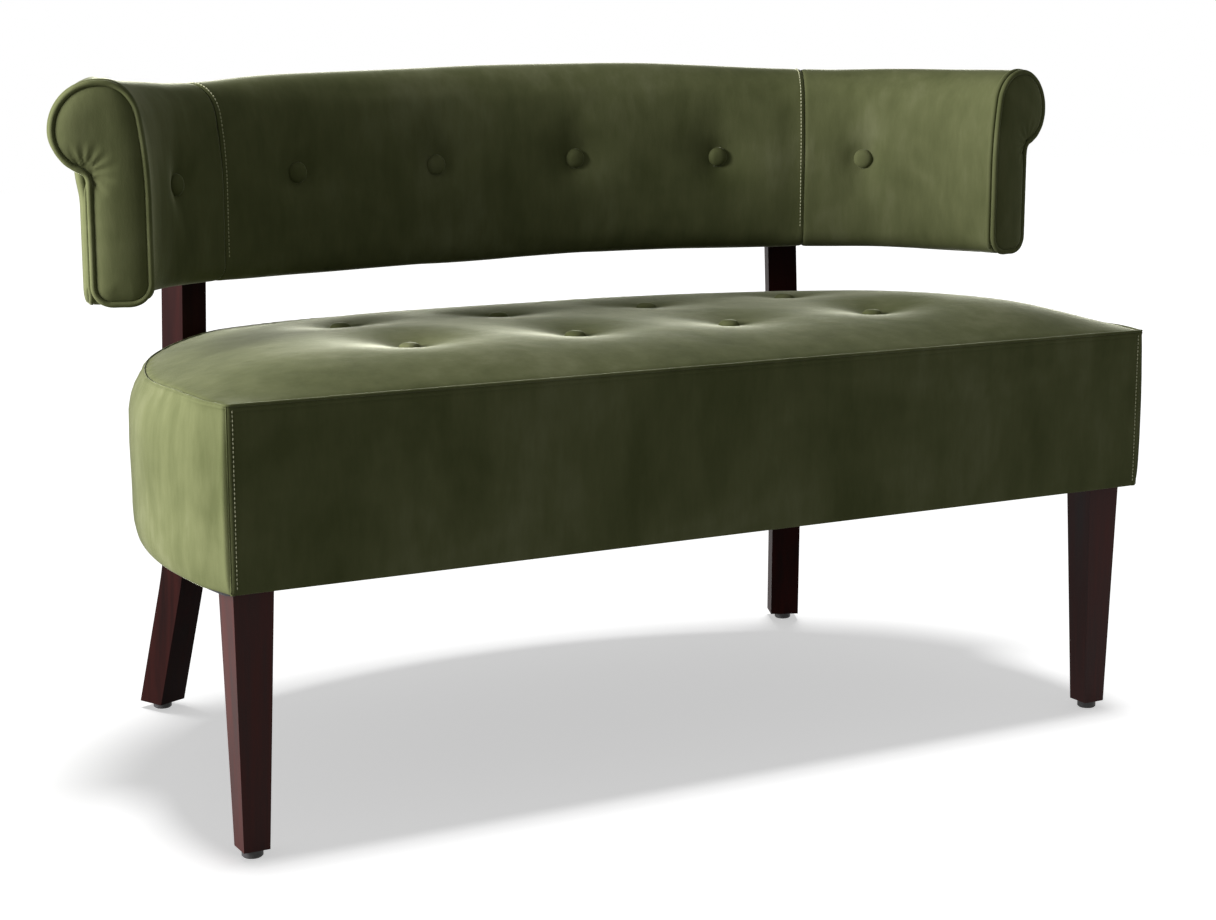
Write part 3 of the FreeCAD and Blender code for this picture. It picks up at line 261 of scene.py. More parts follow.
def tube(line, radius, segments, closed=True):
    """A round cord along a 3-D line."""
    ahead = np.roll(line, -1, axis=0) - line
    behind = line - np.roll(line, 1, axis=0)
    if not closed:
        ahead[-1] = behind[-1]
        behind[0] = ahead[0]
    along = unit(unit(ahead) + unit(behind))
    side = np.empty_like(line)
    vector = np.cross(along[0], (0.3, 0.5, 0.8))
    for i, direction in enumerate(along):
        vector = vector - direction * vector.dot(direction)
        vector /= np.linalg.norm(vector)
        side[i] = vector
    up = np.cross(along, side)
    turn = np.linspace(0, 2 * pi, segments, endpoint=False)[None, :, None]
    radius = np.broadcast_to(radius, len(line))[:, None, None]
    ring = line[:, None] + radius * (np.cos(turn) * side[:, None] + np.sin(turn) * up[:, None])
    faces = grid_faces(len(line), segments, wrap_rows=closed, wrap_columns=True)
    if not closed:
        last = (len(line) - 1) * segments
        faces.append(tuple(range(segments))[::-1])
        faces.append(tuple(last + i for i in range(segments)))
    return ring.reshape(-1, 3), faces


def merged(parts):
    """One mesh from several."""
    verts, faces, shift = [], [], 0
    for part_verts, part_faces in parts:
        verts.append(part_verts)
        faces += [tuple(i + shift for i in face) for face in part_faces]
        shift += len(part_verts)
    return np.concatenate(verts), faces


# Cloth

CLOTH = {"quality": 6, "mass": 0.25, "tension_stiffness": 12.0, "compression_stiffness": 12.0,
         "shear_stiffness": 6.0, "bending_stiffness": 4.0, "tension_damping": 8,
         "compression_damping": 8, "air_damping": 4, "vertex_group_mass": "sewn",
         "use_pressure": True}
CLOTH_FRAMES = 18


def edges_pinned(shape, first=2, last=2):
    """1 in a grid's first and last rows and in two columns at each end, 0 elsewhere."""
    pinned = np.ones(shape)
    pinned[first:-last, 2:-2] = 0
    return pinned


def evened(values, faces, passes):
    """Values of a mesh's points, averaged with their neighbours' a number of times."""
    pairs = np.array([(a, b) for face in faces for a, b in zip(face, face[1:] + face[:1])])
    here, there = np.concatenate([pairs, pairs[:, ::-1]]).T
    count = np.bincount(here, minlength=len(values))[:, None] + 1
    for _ in range(passes):
        total = values.copy()
        for axis in range(values.shape[1]):
            total[:, axis] += np.bincount(here, weights=values[there, axis],
                                          minlength=len(values))
        values = total / count
    return values


def cloth_relax(name, verts, faces, pinned, pressure, cap, spare, passes):
    """Where padded cloth settles between its seams and buttons.

    No point moves by more than cap. spare is how much larger the cloth is cut than its
    place, and passes is how often the movement is averaged.
    """
    verts = np.asarray(verts, float)
    if not SIMULATE:
        return verts
    piece = mesh_piece(name, verts, faces)
    group = piece.vertex_groups.new(name="sewn")
    for index in np.flatnonzero(pinned > 0):
        group.add([int(index)], float(pinned[index]), "REPLACE")
    cloth = piece.modifiers.new("cloth", "CLOTH")
    for key, value in CLOTH.items():
        setattr(cloth.settings, key, value)
    cloth.settings.uniform_pressure_force = pressure
    cloth.settings.shrink_min = -spare
    cloth.settings.effector_weights.gravity = 0
    cloth.collision_settings.use_self_collision = False
    cloth.collision_settings.use_collision = False
    cloth.point_cache.frame_start = 1
    cloth.point_cache.frame_end = CLOTH_FRAMES
    for moment in range(1, CLOTH_FRAMES + 1):
        scene.frame_set(moment)
    settled = piece.evaluated_get(bpy.context.evaluated_depsgraph_get())
    result = np.empty(len(verts) * 3)
    settled.data.vertices.foreach_get("co", result)
    move = evened(result.reshape(-1, 3) - verts, faces, passes) * (1 - pinned[:, None] ** 2)
    mesh = piece.data
    bpy.data.objects.remove(piece)
    bpy.data.meshes.remove(mesh)
    scene.frame_set(1)
    length = np.linalg.norm(move, axis=1, keepdims=True)
    if not np.isfinite(length).all():
        return verts
    share = cap * np.tanh(length / cap) / np.maximum(length, 1e-9)
    return verts + move * np.where(length > 1e-9, share, 0)


# Materials

def new_material(name):
    material = bpy.data.materials.new(name)
    material.use_nodes = True
    nodes = material.node_tree.nodes
    return material, nodes, material.node_tree.links, nodes["Principled BSDF"]


def node(nodes, kind, **values):
    """A new shader node. A value goes to the input of that name, or else to the property."""
    made = nodes.new(kind)
    for key, value in values.items():
        if key in made.inputs:
            made.inputs[key].default_value = value
        else:
            setattr(made, key, value)
    return made


def set_inputs(shader, values):
    for key, value in values.items():
        shader.inputs[key].default_value = value


def noise(nodes, links, stretch=None, **values):
    """Noise in the object's own coordinates, stretched by a scale for each axis."""
    place = nodes.new("ShaderNodeTexCoord").outputs["Object"]
    if stretch:
        mapping = node(nodes, "ShaderNodeMapping", Scale=stretch)
        links.new(place, mapping.inputs["Vector"])
        place = mapping.outputs["Vector"]
    texture = node(nodes, "ShaderNodeTexNoise", **values)
    links.new(place, texture.inputs["Vector"])
    return texture.outputs["Fac"]


def toned(nodes, links, level, shader, stops):
    """A shader's colour from a level, by (level, colour) stops."""
    ramp = nodes.new("ShaderNodeValToRGB")
    elements = ramp.color_ramp.elements
    while len(elements) < len(stops):
        elements.new(0.5)
    for element, (place, colour) in zip(elements, stops):
        element.position = place
        element.color = (*colour, 1)
    links.new(level, ramp.inputs["Fac"])
    links.new(ramp.outputs["Color"], shader.inputs["Base Color"])


def relief(nodes, links, height, shader, strength, distance):
    """A bump from a height, as the normal of a shader or of another bump."""
    raised = node(nodes, "ShaderNodeBump", Strength=strength, Distance=distance)
    links.new(height, raised.inputs["Height"])
    links.new(raised.outputs["Normal"], shader.inputs["Normal"])
    return raised


def velvet_material():
    """Pile in soft patches and upright streaks, with a sheen."""
    material, nodes, links, shader = new_material("velvet_pile")
    patches = noise(nodes, links, Scale=5.5, Detail=3.0, Roughness=0.6, Distortion=0.6)
    streaks = noise(nodes, links, (34, 34, 9), Scale=1.0, Detail=4.0, Roughness=0.65)
    mixed = node(nodes, "ShaderNodeMix", data_type="FLOAT")
    streak_share = 0.38
    mixed.inputs[0].default_value = streak_share
    links.new(patches, mixed.inputs[2])
    links.new(streaks, mixed.inputs[3])
    marks = mixed.outputs[0]
    toned(nodes, links, marks, shader, ((0.35, (0.070, 0.080, 0.027)),
                                        (0.52, (0.106, 0.117, 0.046)),
                                        (0.69, (0.158, 0.168, 0.080))))
    pile = noise(nodes, links, Scale=900.0, Detail=2.0, Roughness=0.6)
    broad = relief(nodes, links, marks, shader, 0.30, 0.004)
    relief(nodes, links, pile, broad, 0.22, 0.0006)
    set_inputs(shader, {"Roughness": 0.85, "Specular IOR Level": 0.15, "Sheen Weight": 0.75,
                        "Sheen Roughness": 0.20, "Sheen Tint": (0.92, 0.95, 0.70, 1)})
    return material


def wood_material(name, dark, light, roughness, grain_scale, polish=0.14):
    """Wood with a grain that changes its tone, its gloss and its surface a little."""
    material, nodes, links, shader = new_material(name)
    grain = noise(nodes, links, grain_scale, Scale=1.0, Detail=6.0, Roughness=0.62,
                  Distortion=0.4)
    toned(nodes, links, grain, shader, ((0.32, dark), (0.70, light)))
    relief(nodes, links, grain, shader, 0.10, 0.001)
    gloss = nodes.new("ShaderNodeMapRange")
    set_inputs(gloss, {"To Min": roughness - 0.06, "To Max": roughness + 0.08})
    links.new(grain, gloss.inputs["Value"])
    links.new(gloss.outputs["Result"], shader.inputs["Roughness"])
    set_inputs(shader, {"Specular IOR Level": polish})
    return material


def speckled_material(name, dark, light, roughness, scale, metallic=0.0, strength=0.15):
    """A plain stuff with fine specks."""
    material, nodes, links, shader = new_material(name)
    speck = noise(nodes, links, Scale=scale, Detail=3.0, Roughness=0.6)
    toned(nodes, links, speck, shader, ((0.35, dark), (0.65, light)))
    relief(nodes, links, speck, shader, strength, 0.0006)
    set_inputs(shader, {"Roughness": roughness, "Metallic": metallic})
    return material


LEG_ROUGHNESS, LEG_GRAIN = 0.46, (60, 60, 5)
velvet = velvet_material()
# A darker, less glossy copy of the leg wood for the rear legs: painted shade, standing in for the
# shade that the arms and seat throw on them.
rear_wood_painted_shade = wood_material("rear_leg_painted_shade", (0.0060, 0.0011, 0.0007), (0.0190, 0.0031, 0.0020),
                          LEG_ROUGHNESS, LEG_GRAIN, polish=0.045)
thread = speckled_material("seam_thread", (0.44, 0.45, 0.26), (0.66, 0.67, 0.42), 0.8, 900,
                           strength=0.3)
SLOT_MATERIALS = {
    "velvet": velvet,
    "leg_wood": wood_material("leg_wood_stain", (0.0140, 0.0024, 0.0015),
                              (0.044, 0.0066, 0.0042), LEG_ROUGHNESS, LEG_GRAIN),
    "frame_wood": wood_material("frame_hardwood", (0.42, 0.28, 0.16), (0.62, 0.46, 0.29),
                                0.7, (8, 60, 60)),
    "plywood": wood_material("plywood_birch", (0.52, 0.38, 0.23), (0.68, 0.54, 0.36),
                             0.65, (6, 40, 90)),
    "foam": speckled_material("foam_cells", (0.78, 0.70, 0.50), (0.88, 0.82, 0.64), 0.95, 500),
    "wadding": speckled_material("wadding_fibre", (0.80, 0.80, 0.77), (0.90, 0.90, 0.88),
                                 0.98, 240, strength=0.5),
    "steel": speckled_material("zinc_steel", (0.50, 0.50, 0.49), (0.68, 0.68, 0.66),
                               0.38, 160, metallic=1.0, strength=0.05),
    "twine": speckled_material("twine_fibre", (0.50, 0.42, 0.30), (0.70, 0.62, 0.47),
                               0.9, 700, strength=0.5),
    "glide_plastic": speckled_material("glide_plastic", (0.018, 0.017, 0.016),
                                       (0.040, 0.038, 0.036), 0.5, 300, strength=0.08),
    "dust_cloth": speckled_material("dust_cloth_fibre", (0.010, 0.010, 0.010),
                                    (0.030, 0.030, 0.030), 0.97, 450, strength=0.4)}
# Each node gets its slot's material, except the rear legs, which get the darker copy of the leg
# wood (painted shade).
for entry in frame["record"]["subparts"]:
    name = entry["node"]
    stuff = frame["nodes"][name].data.materials
    stuff.clear()
    stuff.append(rear_wood_painted_shade if name.startswith("rear_leg") else
                 SLOT_MATERIALS[entry["material_slot"]])

for name in ("front_leg_right", "front_leg_left", "rear_leg_right", "rear_leg_left"):
    ease = frame["nodes"][name].modifiers.new("eased_edges", "BEVEL")
    ease.width = 0.0012
    ease.segments = 2
    ease.limit_method = "ANGLE"
    ease.angle_limit = radians(40)


# The band's path in plan: a wide arc behind, a corner arc and a short straight at each side.
# SEAM is where the back's cover meets an arm's, as a heading on the corner arc.
BACK_RADIUS, BACK_CENTRE = 1.220, (0.0, -1.00193)
CORNER_RADIUS, CORNER_CENTRE = 0.278, (0.27483, -0.100917)
BACK_TURN, SPLAY, SEAM = (radians(a) for a in (73.037, 13.7, 64.0))
STRAIGHT = 0.013
CORNER_START = BACK_RADIUS * (pi / 2 - BACK_TURN)
CORNER_STOP = CORNER_START + CORNER_RADIUS * (BACK_TURN - SPLAY)
SEAM_AT = CORNER_START + CORNER_RADIUS * (BACK_TURN - SEAM)
ARM_END = CORNER_STOP + STRAIGHT

# Its section: a stem with a hollow inner face and a roll on top that droops outside.
BAND_BOTTOM, STEM, BOTTOM_ROUND = 0.534, 0.063, 0.020
ROLL_OUT, ROLL_Z, ROLL_R = 0.052, 0.720, 0.045
ROLL_DROOP, ROLL_FLARE = 0.0055, 0.0018
CURVE_Z, CURVE_R = 0.640, 0.50564
LIP_R = 0.004

# The covered buttons, and how they pull the cover in.
BUTTON_R, BUTTON_WAIST, BUTTON_DEPTH = 0.0125, 0.0118, 0.009
DIMPLE_REACH, DIMPLE_POWER = 0.060, 2.6
BACK_BUTTON_Z = 0.650
BACK_BUTTON_S = [BACK_RADIUS * (pi / 2 - acos(x / BACK_RADIUS)) for x in (0.096, 0.288)]
ARM_BUTTON_S = CORNER_START + CORNER_RADIUS * (BACK_TURN - radians(48.5))
BACK_BUTTONS = sorted([s * k for s in BACK_BUTTON_S + [ARM_BUTTON_S] for k in (-1, 1)])


def on_band(s, out):
    """Plan position and outward direction, from the distances along and out."""
    s, out = np.broadcast_arrays(np.asarray(s, float), np.asarray(out, float))
    side = np.where(s < 0, -1.0, 1.0)
    a = np.abs(s)
    back = a < CORNER_START
    heading = np.where(back, pi / 2 - a / BACK_RADIUS,
                       np.maximum(BACK_TURN - (a - CORNER_START) / CORNER_RADIUS, SPLAY))
    radius = np.where(back, BACK_RADIUS, CORNER_RADIUS) + out
    x = np.where(back, BACK_CENTRE[0], CORNER_CENTRE[0]) + radius * np.cos(heading)
    y = np.where(back, BACK_CENTRE[1], CORNER_CENTRE[1]) + radius * np.sin(heading)
    extra = np.maximum(a - CORNER_STOP, 0)
    x = x + extra * sin(SPLAY)
    y = y - extra * cos(SPLAY)
    return together(side * x, y), together(side * np.cos(heading), np.sin(heading))


def camel(x, z):
    """How far a point of the band stands above its level line, as the photograph shows it."""
    a = np.abs(x)
    hump = 0.0085 * bump(x - 0.12, 0.24)
    hollow = np.where(x < 0, 0.0090, 0.0030) * bump(a - 0.430, 0.085)
    drop = 0.001 * smooth(0.50, 0.60, a)
    fuller = 0.0042 * bump(x + 0.570, 0.024)
    sink = 0.0058 * bump(x + 0.20, 0.27)
    near_top = smooth(BAND_BOTTOM + 0.02, 0.74, z)
    near_bottom = 1 - smooth(BAND_BOTTOM, 0.66, z)
    return (hump - hollow - drop + fuller) * near_top - sink * near_bottom


def band_points(s, out, z):
    """Points of the band, with its uneven top and bottom."""
    x, y = np.moveaxis(on_band(s, out)[0], -1, 0)
    return together(x, y, z + camel(x, z))


def roll_points(first, last, count):
    """The roll's outline. Its outer side hangs a little lower than a true circle."""
    turn = np.linspace(first, last, count)
    line = arc_points(ROLL_OUT, ROLL_Z, ROLL_R, first, last, count)
    line[:, 0] += ROLL_FLARE * np.cos(np.radians(turn)).clip(0, 1)
    line[:, 1] -= ROLL_DROOP * smooth(0, 1, (90 - turn) / 120)
    return line


def skin_line():
    """The inside cover's section, from under the stem round the roll to where it meets the stem."""
    end = -degrees(acos((STEM - ROLL_OUT) / ROLL_R))
    return np.concatenate([
        arc_points(STEM - LIP_R, BAND_BOTTOM + LIP_R, LIP_R, 360, 270, 6),
        arc_points(BOTTOM_ROUND, BAND_BOTTOM + BOTTOM_ROUND, BOTTOM_ROUND, 270, 180, 9),
        arc_points(CURVE_R, CURVE_Z, CURVE_R, 180, 170, 12),
        roll_points(170, end, 40)])


def stations(first, last, spacing):
    """Places along a piece, closer together at its ends."""
    *steps, inset = 0, 0.0012, 0.003, 0.0055, 0.009
    count = max(int(round((last - first) / spacing)), 4)
    inner = np.linspace(first + inset, last - inset, count)
    return np.concatenate([[first + step for step in steps], inner,
                           [last - step for step in reversed(steps)]])


def front_lift(s, out):
    """How far the underside rises at its outer edge, close to the front of an arm."""
    radius, reach = 0.020, 0.013
    return (round_drop(radius, out - (STEM - radius))
            * smooth(ARM_END - reach, ARM_END - 0.002, np.abs(s)))


def button_creases(along, z, near, buttons, seed):
    """Shallow folds that run out from each button."""
    draws = np.random.default_rng(seed + 50)
    folds, fold_width = 7, 0.0042
    crease = np.zeros(z.shape)
    for at in buttons:
        du, dz = along - at, z - BACK_BUTTON_Z
        r = np.hypot(du, dz)
        angle = np.arctan2(dz, du)
        for fold in range(folds):
            turn = 2 * pi * fold / folds + draws.uniform(-0.35, 0.35)
            reach = draws.uniform(0.022, 0.046)
            off = np.abs((angle - turn + pi) % (2 * pi) - pi) * np.maximum(r, 0.004)
            depth = draws.uniform(0.0003, 0.0008)
            there = bump(off, fold_width) * smooth(0.008, 0.014, r) * (1 - smooth(0.012, reach, r))
            crease -= np.where(near, depth * there, 0)
    return crease


def band_cover(name, first, last, dips, buttons, seed, *stands_for):
    """A padded cover of the band between two places along it, sewn in at both ends.

    Gives its outer points, their normals and its places along the band.
    """
    thick, lump_height, deepest = 0.006, 0.0006, 0.0006
    section = resample(skin_line(), 0.0052)
    normal = line_normals(section)
    s = stations(first, last, 0.0062)
    shape = len(section), len(s)
    out = np.broadcast_to(section[:, :1], shape)
    z = np.broadcast_to(section[:, 1:], shape)
    along = np.broadcast_to(s, shape)
    before_roll = np.arange(len(section))[:, None] < len(section) * 0.62
    near = before_roll & (z > BAND_BOTTOM + 0.001) & (out < 0.03)
    pinned = edges_pinned(shape)
    inward = np.zeros(shape)
    for at in buttons:
        r = np.hypot(along - at, z - BACK_BUTTON_Z)
        fall = np.clip((DIMPLE_REACH - r) / (DIMPLE_REACH - BUTTON_WAIST), 0, 1)
        inward += np.where(near, BUTTON_DEPTH * fall ** DIMPLE_POWER, 0)
        pinned[near & (r < BUTTON_WAIST)] = 1
    dip_width = 0.0018
    dip = (dips[0] * np.exp(-np.abs(s - first) / dip_width)
           + dips[1] * np.exp(-np.abs(last - s) / dip_width))
    offset = -(inward + dip)
    u = out + offset * normal[:, :1]
    lift = np.where(z < BAND_BOTTOM + 0.0045, front_lift(along, out), 0)
    grid = band_points(along, u, z + offset * normal[:, 1:] + lift)

    settled = cloth_relax(name + "_cloth", grid.reshape(-1, 3), grid_faces(*shape),
                          pinned.reshape(-1), pressure=3.5, cap=0.0035, spare=0.002, passes=8)
    outward = on_band(along, u)[1]
    lean = together(normal[:, :1] * outward[..., 0], normal[:, :1] * outward[..., 1],
                    normal[:, 1:])
    taper = smooth(0.0, 0.045, np.minimum(s - first, last - s))[:, None]
    move = (settled.reshape(grid.shape) - grid) * taper
    sunk = (move * lean).sum(-1, keepdims=True)
    move += lean * np.maximum(-deepest - sunk, 0)
    grid = grid + move

    face_normal = grid_normals(grid)
    face_normal *= np.sign((face_normal * lean).sum(-1, keepdims=True))
    lump = wavy(grid.reshape(-1, 3), 0.16, seed).reshape(shape) * lump_height
    crease = button_creases(along, z, near, buttons, seed)
    grid = grid + face_normal * (lump + crease)[..., None]
    velvet_piece(name, *closed_shell(grid, grid - face_normal * thick), 0.85, *stands_for)
    return grid, face_normal, s


SEAM_GAP, SEAM_DIP, FREE_DIP = 0.0002, 0.0016, 0.0008
back_grid, back_normal, back_s = band_cover(
    "inside_back", -SEAM_AT + SEAM_GAP, SEAM_AT - SEAM_GAP, (SEAM_DIP, SEAM_DIP),
    [s for s in BACK_BUTTONS if abs(s) < SEAM_AT], 3, "inside_back_cover", "inside_back_foam")
for seed, (side, sign) in enumerate(SIDES, 11):
    ends = sorted([sign * (SEAM_AT + SEAM_GAP), sign * ARM_END])
    band_cover("inside_arm_" + side, *ends, (SEAM_DIP, FREE_DIP)[::sign], [sign * ARM_BUTTON_S],
               seed, "inside_arm_cover_" + side, "inside_arm_foam_" + side)


# The panels outside the band, from its bottom to below the roll.
PANEL_OUT, PANEL_ROUND = 0.0634, 0.022


def outside_panel(name, first, last):
    """A padded panel outside the band, its lower corner rounded at an arm's front."""
    bottom, top = BAND_BOTTOM + 0.0008, 0.6735
    edge, padding, pad_reach = 0.0022, 0.0046, 0.016
    hem = np.array([0, 0.0015, 0.0045])
    z = np.concatenate([bottom + hem, np.linspace(bottom + 0.010, top - 0.010, 22),
                        top - hem[::-1]])
    s = stations(first, last, 0.0075)
    free = ARM_END - np.abs(s)
    lift = np.minimum(round_drop(PANEL_ROUND, PANEL_ROUND - free), PANEL_ROUND * 0.8)
    share = (z - bottom) / (top - bottom)
    lifted = z[:, None] + lift * (1 - share[:, None]) ** 2
    rim = np.minimum((z - bottom)[:, None], np.minimum(s - first, last - s))
    height = edge + padding * quarter_round(rim, pad_reach)
    flare = 0.0042 * smooth(0.632, top, lifted) ** 1.5
    grid = band_points(s, PANEL_OUT + height + flare, lifted)
    inner = band_points(s, PANEL_OUT, lifted)
    velvet_piece(name, *closed_shell(grid, inner), 0.8,
                 name.replace("back", "back_cover").replace("arm", "arm_cover"))


PANEL_GAP, PANEL_AHEAD = 0.0005, 0.002
outside_panel("outside_back", -SEAM_AT + PANEL_GAP, SEAM_AT - PANEL_GAP)
outside_panel("outside_arm_right", SEAM_AT + PANEL_GAP, ARM_END + PANEL_AHEAD)
outside_panel("outside_arm_left", -ARM_END - PANEL_AHEAD, -SEAM_AT - PANEL_GAP)


def outside_piping():
    """Piping down the front edge of each outside arm panel, round and back along its bottom."""
    front, start_z = ARM_END + 0.0005, 0.672
    corner_z, low_z = BAND_BOTTOM + 0.024, BAND_BOTTOM + 0.0025
    z = np.linspace(start_z, corner_z, 40)
    turn = np.radians(np.linspace(0, 90, 16))
    bend = together(front - PANEL_ROUND * (1 - np.cos(turn)),
                    corner_z - (corner_z - low_z) * np.sin(turn))
    line = resample(np.concatenate([together(front, z), bend[1:], [[ARM_END - 0.070, low_z]]]),
                    0.002)
    under = smooth(corner_z, BAND_BOTTOM + 0.010, line[:, 1])
    tuck = 0.0045 * smooth(0.650, start_z, line[:, 1]) + 0.0022 * under
    for side, sign in SIDES:
        path = band_points(sign * line[:, 0], PANEL_OUT + 0.0012 - tuck, line[:, 1])
        velvet_piece("outside_piping_" + side,
                     *tube(path, 0.0026 + 0.0008 * under, 10, closed=False), 1.0)


outside_piping()


# The fronts of the arms

WELT_R = 0.0033


def facing_outline():
    """The closed outline of an arm's front in (out, z), clockwise from its outer lower corner."""
    corner, inner_corner, fillet, spacing = 0.021, 0.024, 0.014, 0.0022
    centre_z = ROLL_Z - sqrt((ROLL_R + fillet) ** 2 - (STEM + fillet - ROLL_OUT) ** 2)
    touch = degrees(atan2(centre_z - ROLL_Z, STEM + fillet - ROLL_OUT))
    line = np.concatenate([
        arc_points(STEM - corner, BAND_BOTTOM + corner, corner, 0, -90, 9),
        arc_points(inner_corner, BAND_BOTTOM + inner_corner, inner_corner, 270, 180, 11),
        arc_points(CURVE_R, CURVE_Z, CURVE_R, 180, 170, 14),
        roll_points(170, touch, 48),
        arc_points(STEM + fillet, centre_z - ROLL_DROOP, fillet, touch + 180, 180, 9)])
    return resample(np.concatenate([line, line[:1]]), spacing)[:-1]


def arm_front(sign, line, ahead):
    """Points at an arm's end, from a line in (out, z) and how far ahead of the end it lies."""
    return band_points(sign * (ARM_END + ahead), line[:, 0], line[:, 1])


def arm_facings():
    """The domed front of each arm, gathered at the pinch below the roll, and its piping."""
    outline = facing_outline()
    inward = -left_of(np.roll(outline, -1, axis=0) - np.roll(outline, 1, axis=0))
    line = outline + inward * 0.0042
    rings = [line + inward * step for step in (0.0010, 0.0024, 0.0042)]
    plan, faces, boundary = filled(line, 0.0028, rings, margin=2.2)
    away = edge_distance(plan, line)
    away[boundary] = 0
    dome = 0.0028 + 0.0072 * quarter_round(away, 0.026)
    pinch = STEM + 0.004, ROLL_Z - ROLL_R - 0.002
    r = np.hypot(*(plan - pinch).T)
    angle = np.arctan2(plan[:, 1] - pinch[1], plan[:, 0] - pinch[0])
    gathers = 13
    gather = np.sin(angle * gathers) * 0.5 + 0.5
    dome -= (0.0019 * gather + 0.0008) * (1 - smooth(0.010, 0.038, r))
    dome[boundary] = 0.0015
    cord = outline + inward * 0.0021
    uneven = 0.4 + bump(np.hypot(*(cord - pinch).T), 0.02)
    thick = WELT_R + 0.00012 * np.sin(np.arange(len(cord)) * 0.9) * uneven
    for side, sign in SIDES:
        top = arm_front(sign, plan, dome)
        base = arm_front(sign, plan[boundary], 0.0002)
        velvet_piece("arm_front_" + side, *closed_fill(top, faces, boundary, base), 0.85,
                     "arm_facing_" + side)
        velvet_piece("arm_piping_" + side, *tube(arm_front(sign, cord, 0.0036), thick, 12), 1.0,
                     "arm_welt_" + side)


arm_facings()


def arm_edge_rolls():
    """The thin padded roll that edges each arm's cover, behind the piping of the arm's front."""
    spacing, ahead, depth = 0.0026, -0.0036, 0.0034
    line = resample(skin_line(), spacing)
    line = line[line[:, 1] > BAND_BOTTOM + 0.0022]
    line = line[np.argmax(line[:, 0] < 0.03):]
    run = np.arange(len(line)) * spacing
    tuck = (depth * (1 - smooth(0.0, 0.016, run))
            + depth * smooth(run[-1] - 0.060, run[-1] - 0.010, run))
    line = line + line_normals(line) * (-0.0010 - tuck)[:, None]
    for side, sign in SIDES:
        velvet_piece("arm_edge_roll_" + side,
                     *tube(arm_front(sign, line, ahead), WELT_R, 12, closed=False), 1.0)


arm_edge_rolls()


# The seat in plan: a straight front, and arcs for its sides, rear corners and back.
FRONT_Y = -0.315066
SIDE_C, SIDE_R = (-0.1165, -0.19307), 0.700
SEAT_CORNER_C, SEAT_CORNER_R = (0.2585, -0.0276), 0.290
REAR_C, REAR_R = (0.0, -0.67807), 0.990
SIDE_END, CORNER_END = radians(23.9), radians(68.3)
SEAM_Z, CROWN, SEAT_LOW = 0.466, 0.027, 0.280
TUFTS = [(x, y) for y in (-0.14507, 0.04593) for x in (-0.3, -0.1, 0.1, 0.3)]
TUFT_FLOOR = SEAM_Z + CROWN - 0.0105
TUFT_REACH, TUFT_WAIST = 0.104, 0.012


def seat_path():
    """Half of the seat's wall in plan, from the right front corner to the middle of the back.

    Each row holds a point and its outward normal.
    """
    spacing = 0.006
    first = asin((FRONT_Y - SIDE_C[1]) / SIDE_R)
    parts = []
    for centre, radius, start, stop in ((SIDE_C, SIDE_R, first, SIDE_END),
                                        (SEAT_CORNER_C, SEAT_CORNER_R, SIDE_END, CORNER_END),
                                        (REAR_C, REAR_R, CORNER_END, pi / 2)):
        count = max(int(radius * (stop - start) / spacing), 3)
        turn = np.linspace(start, stop, count, endpoint=False)
        outward = together(np.cos(turn), np.sin(turn))
        parts.append(np.concatenate([centre + radius * outward, outward], -1))
    return np.concatenate([*parts, [[0.0, REAR_C[1] + REAR_R, 0.0, 1.0]]])


half_wall = seat_path()
whole_wall = np.concatenate([half_wall, half_wall[:-1][::-1] * (-1, 1, -1, 1)])
AROUND_OUT = whole_wall[:, 2:]
wall_run = run_length(whole_wall[:, :2])
FROM_CORNER = np.minimum(wall_run, wall_run[-1] - wall_run)
CORNER_INSET, CORNER_SPAN, SEAM_INSET = 0.0052, 0.16, 0.0105

# The wall's line, drawn in at the front corners, and the top seam's, drawn in elsewhere.
AROUND = whole_wall[:, :2] - AROUND_OUT * (
    CORNER_INSET * (1 - smooth(0.0, 0.055, FROM_CORNER)))[:, None]
SEAM_LINE = AROUND - AROUND_OUT * (SEAM_INSET * smooth(0.0, CORNER_SPAN, FROM_CORNER))[:, None]
SEAT_FRONT_HALF = AROUND[0, 0]


def seam_drop(plan):
    """How far the seat's top seam sinks behind the middle, and at the left side."""
    x, y = plan[..., 0], plan[..., 1]
    most = 0.0050 * bump(x + 0.05, 0.15) + 0.0100 * (1 - smooth(-0.52, -0.37, x))
    return most * smooth(-0.27, 0.0, y)


def rise(distance, reach):
    return 1 - (1 - np.clip(distance / reach, 0, 1)) ** 2.1


def crown_height(plan, away_side, away_front):
    """Height of the padded top above the seam, before its tufts."""
    x = plan[:, 0]
    away_rear = REAR_R - np.hypot(*(plan - REAR_C).T)
    fuller = (0.0085 * smooth(0.25, 0.50, x) - 0.0030 * bump(x - 0.09, 0.15)
              + 0.0025 * bump(x + 0.27, 0.09))
    share = rise(away_side, 0.185) * rise(away_rear, 0.350) * rise(away_front, 0.150)
    return (CROWN + fuller + seam_drop(plan)) * share - seam_drop(plan)


def front_line(count, y):
    """Points along the seat's front between its corners, which are left out."""
    return together(np.linspace(-SEAT_FRONT_HALF, SEAT_FRONT_HALF, count)[1:-1], y)


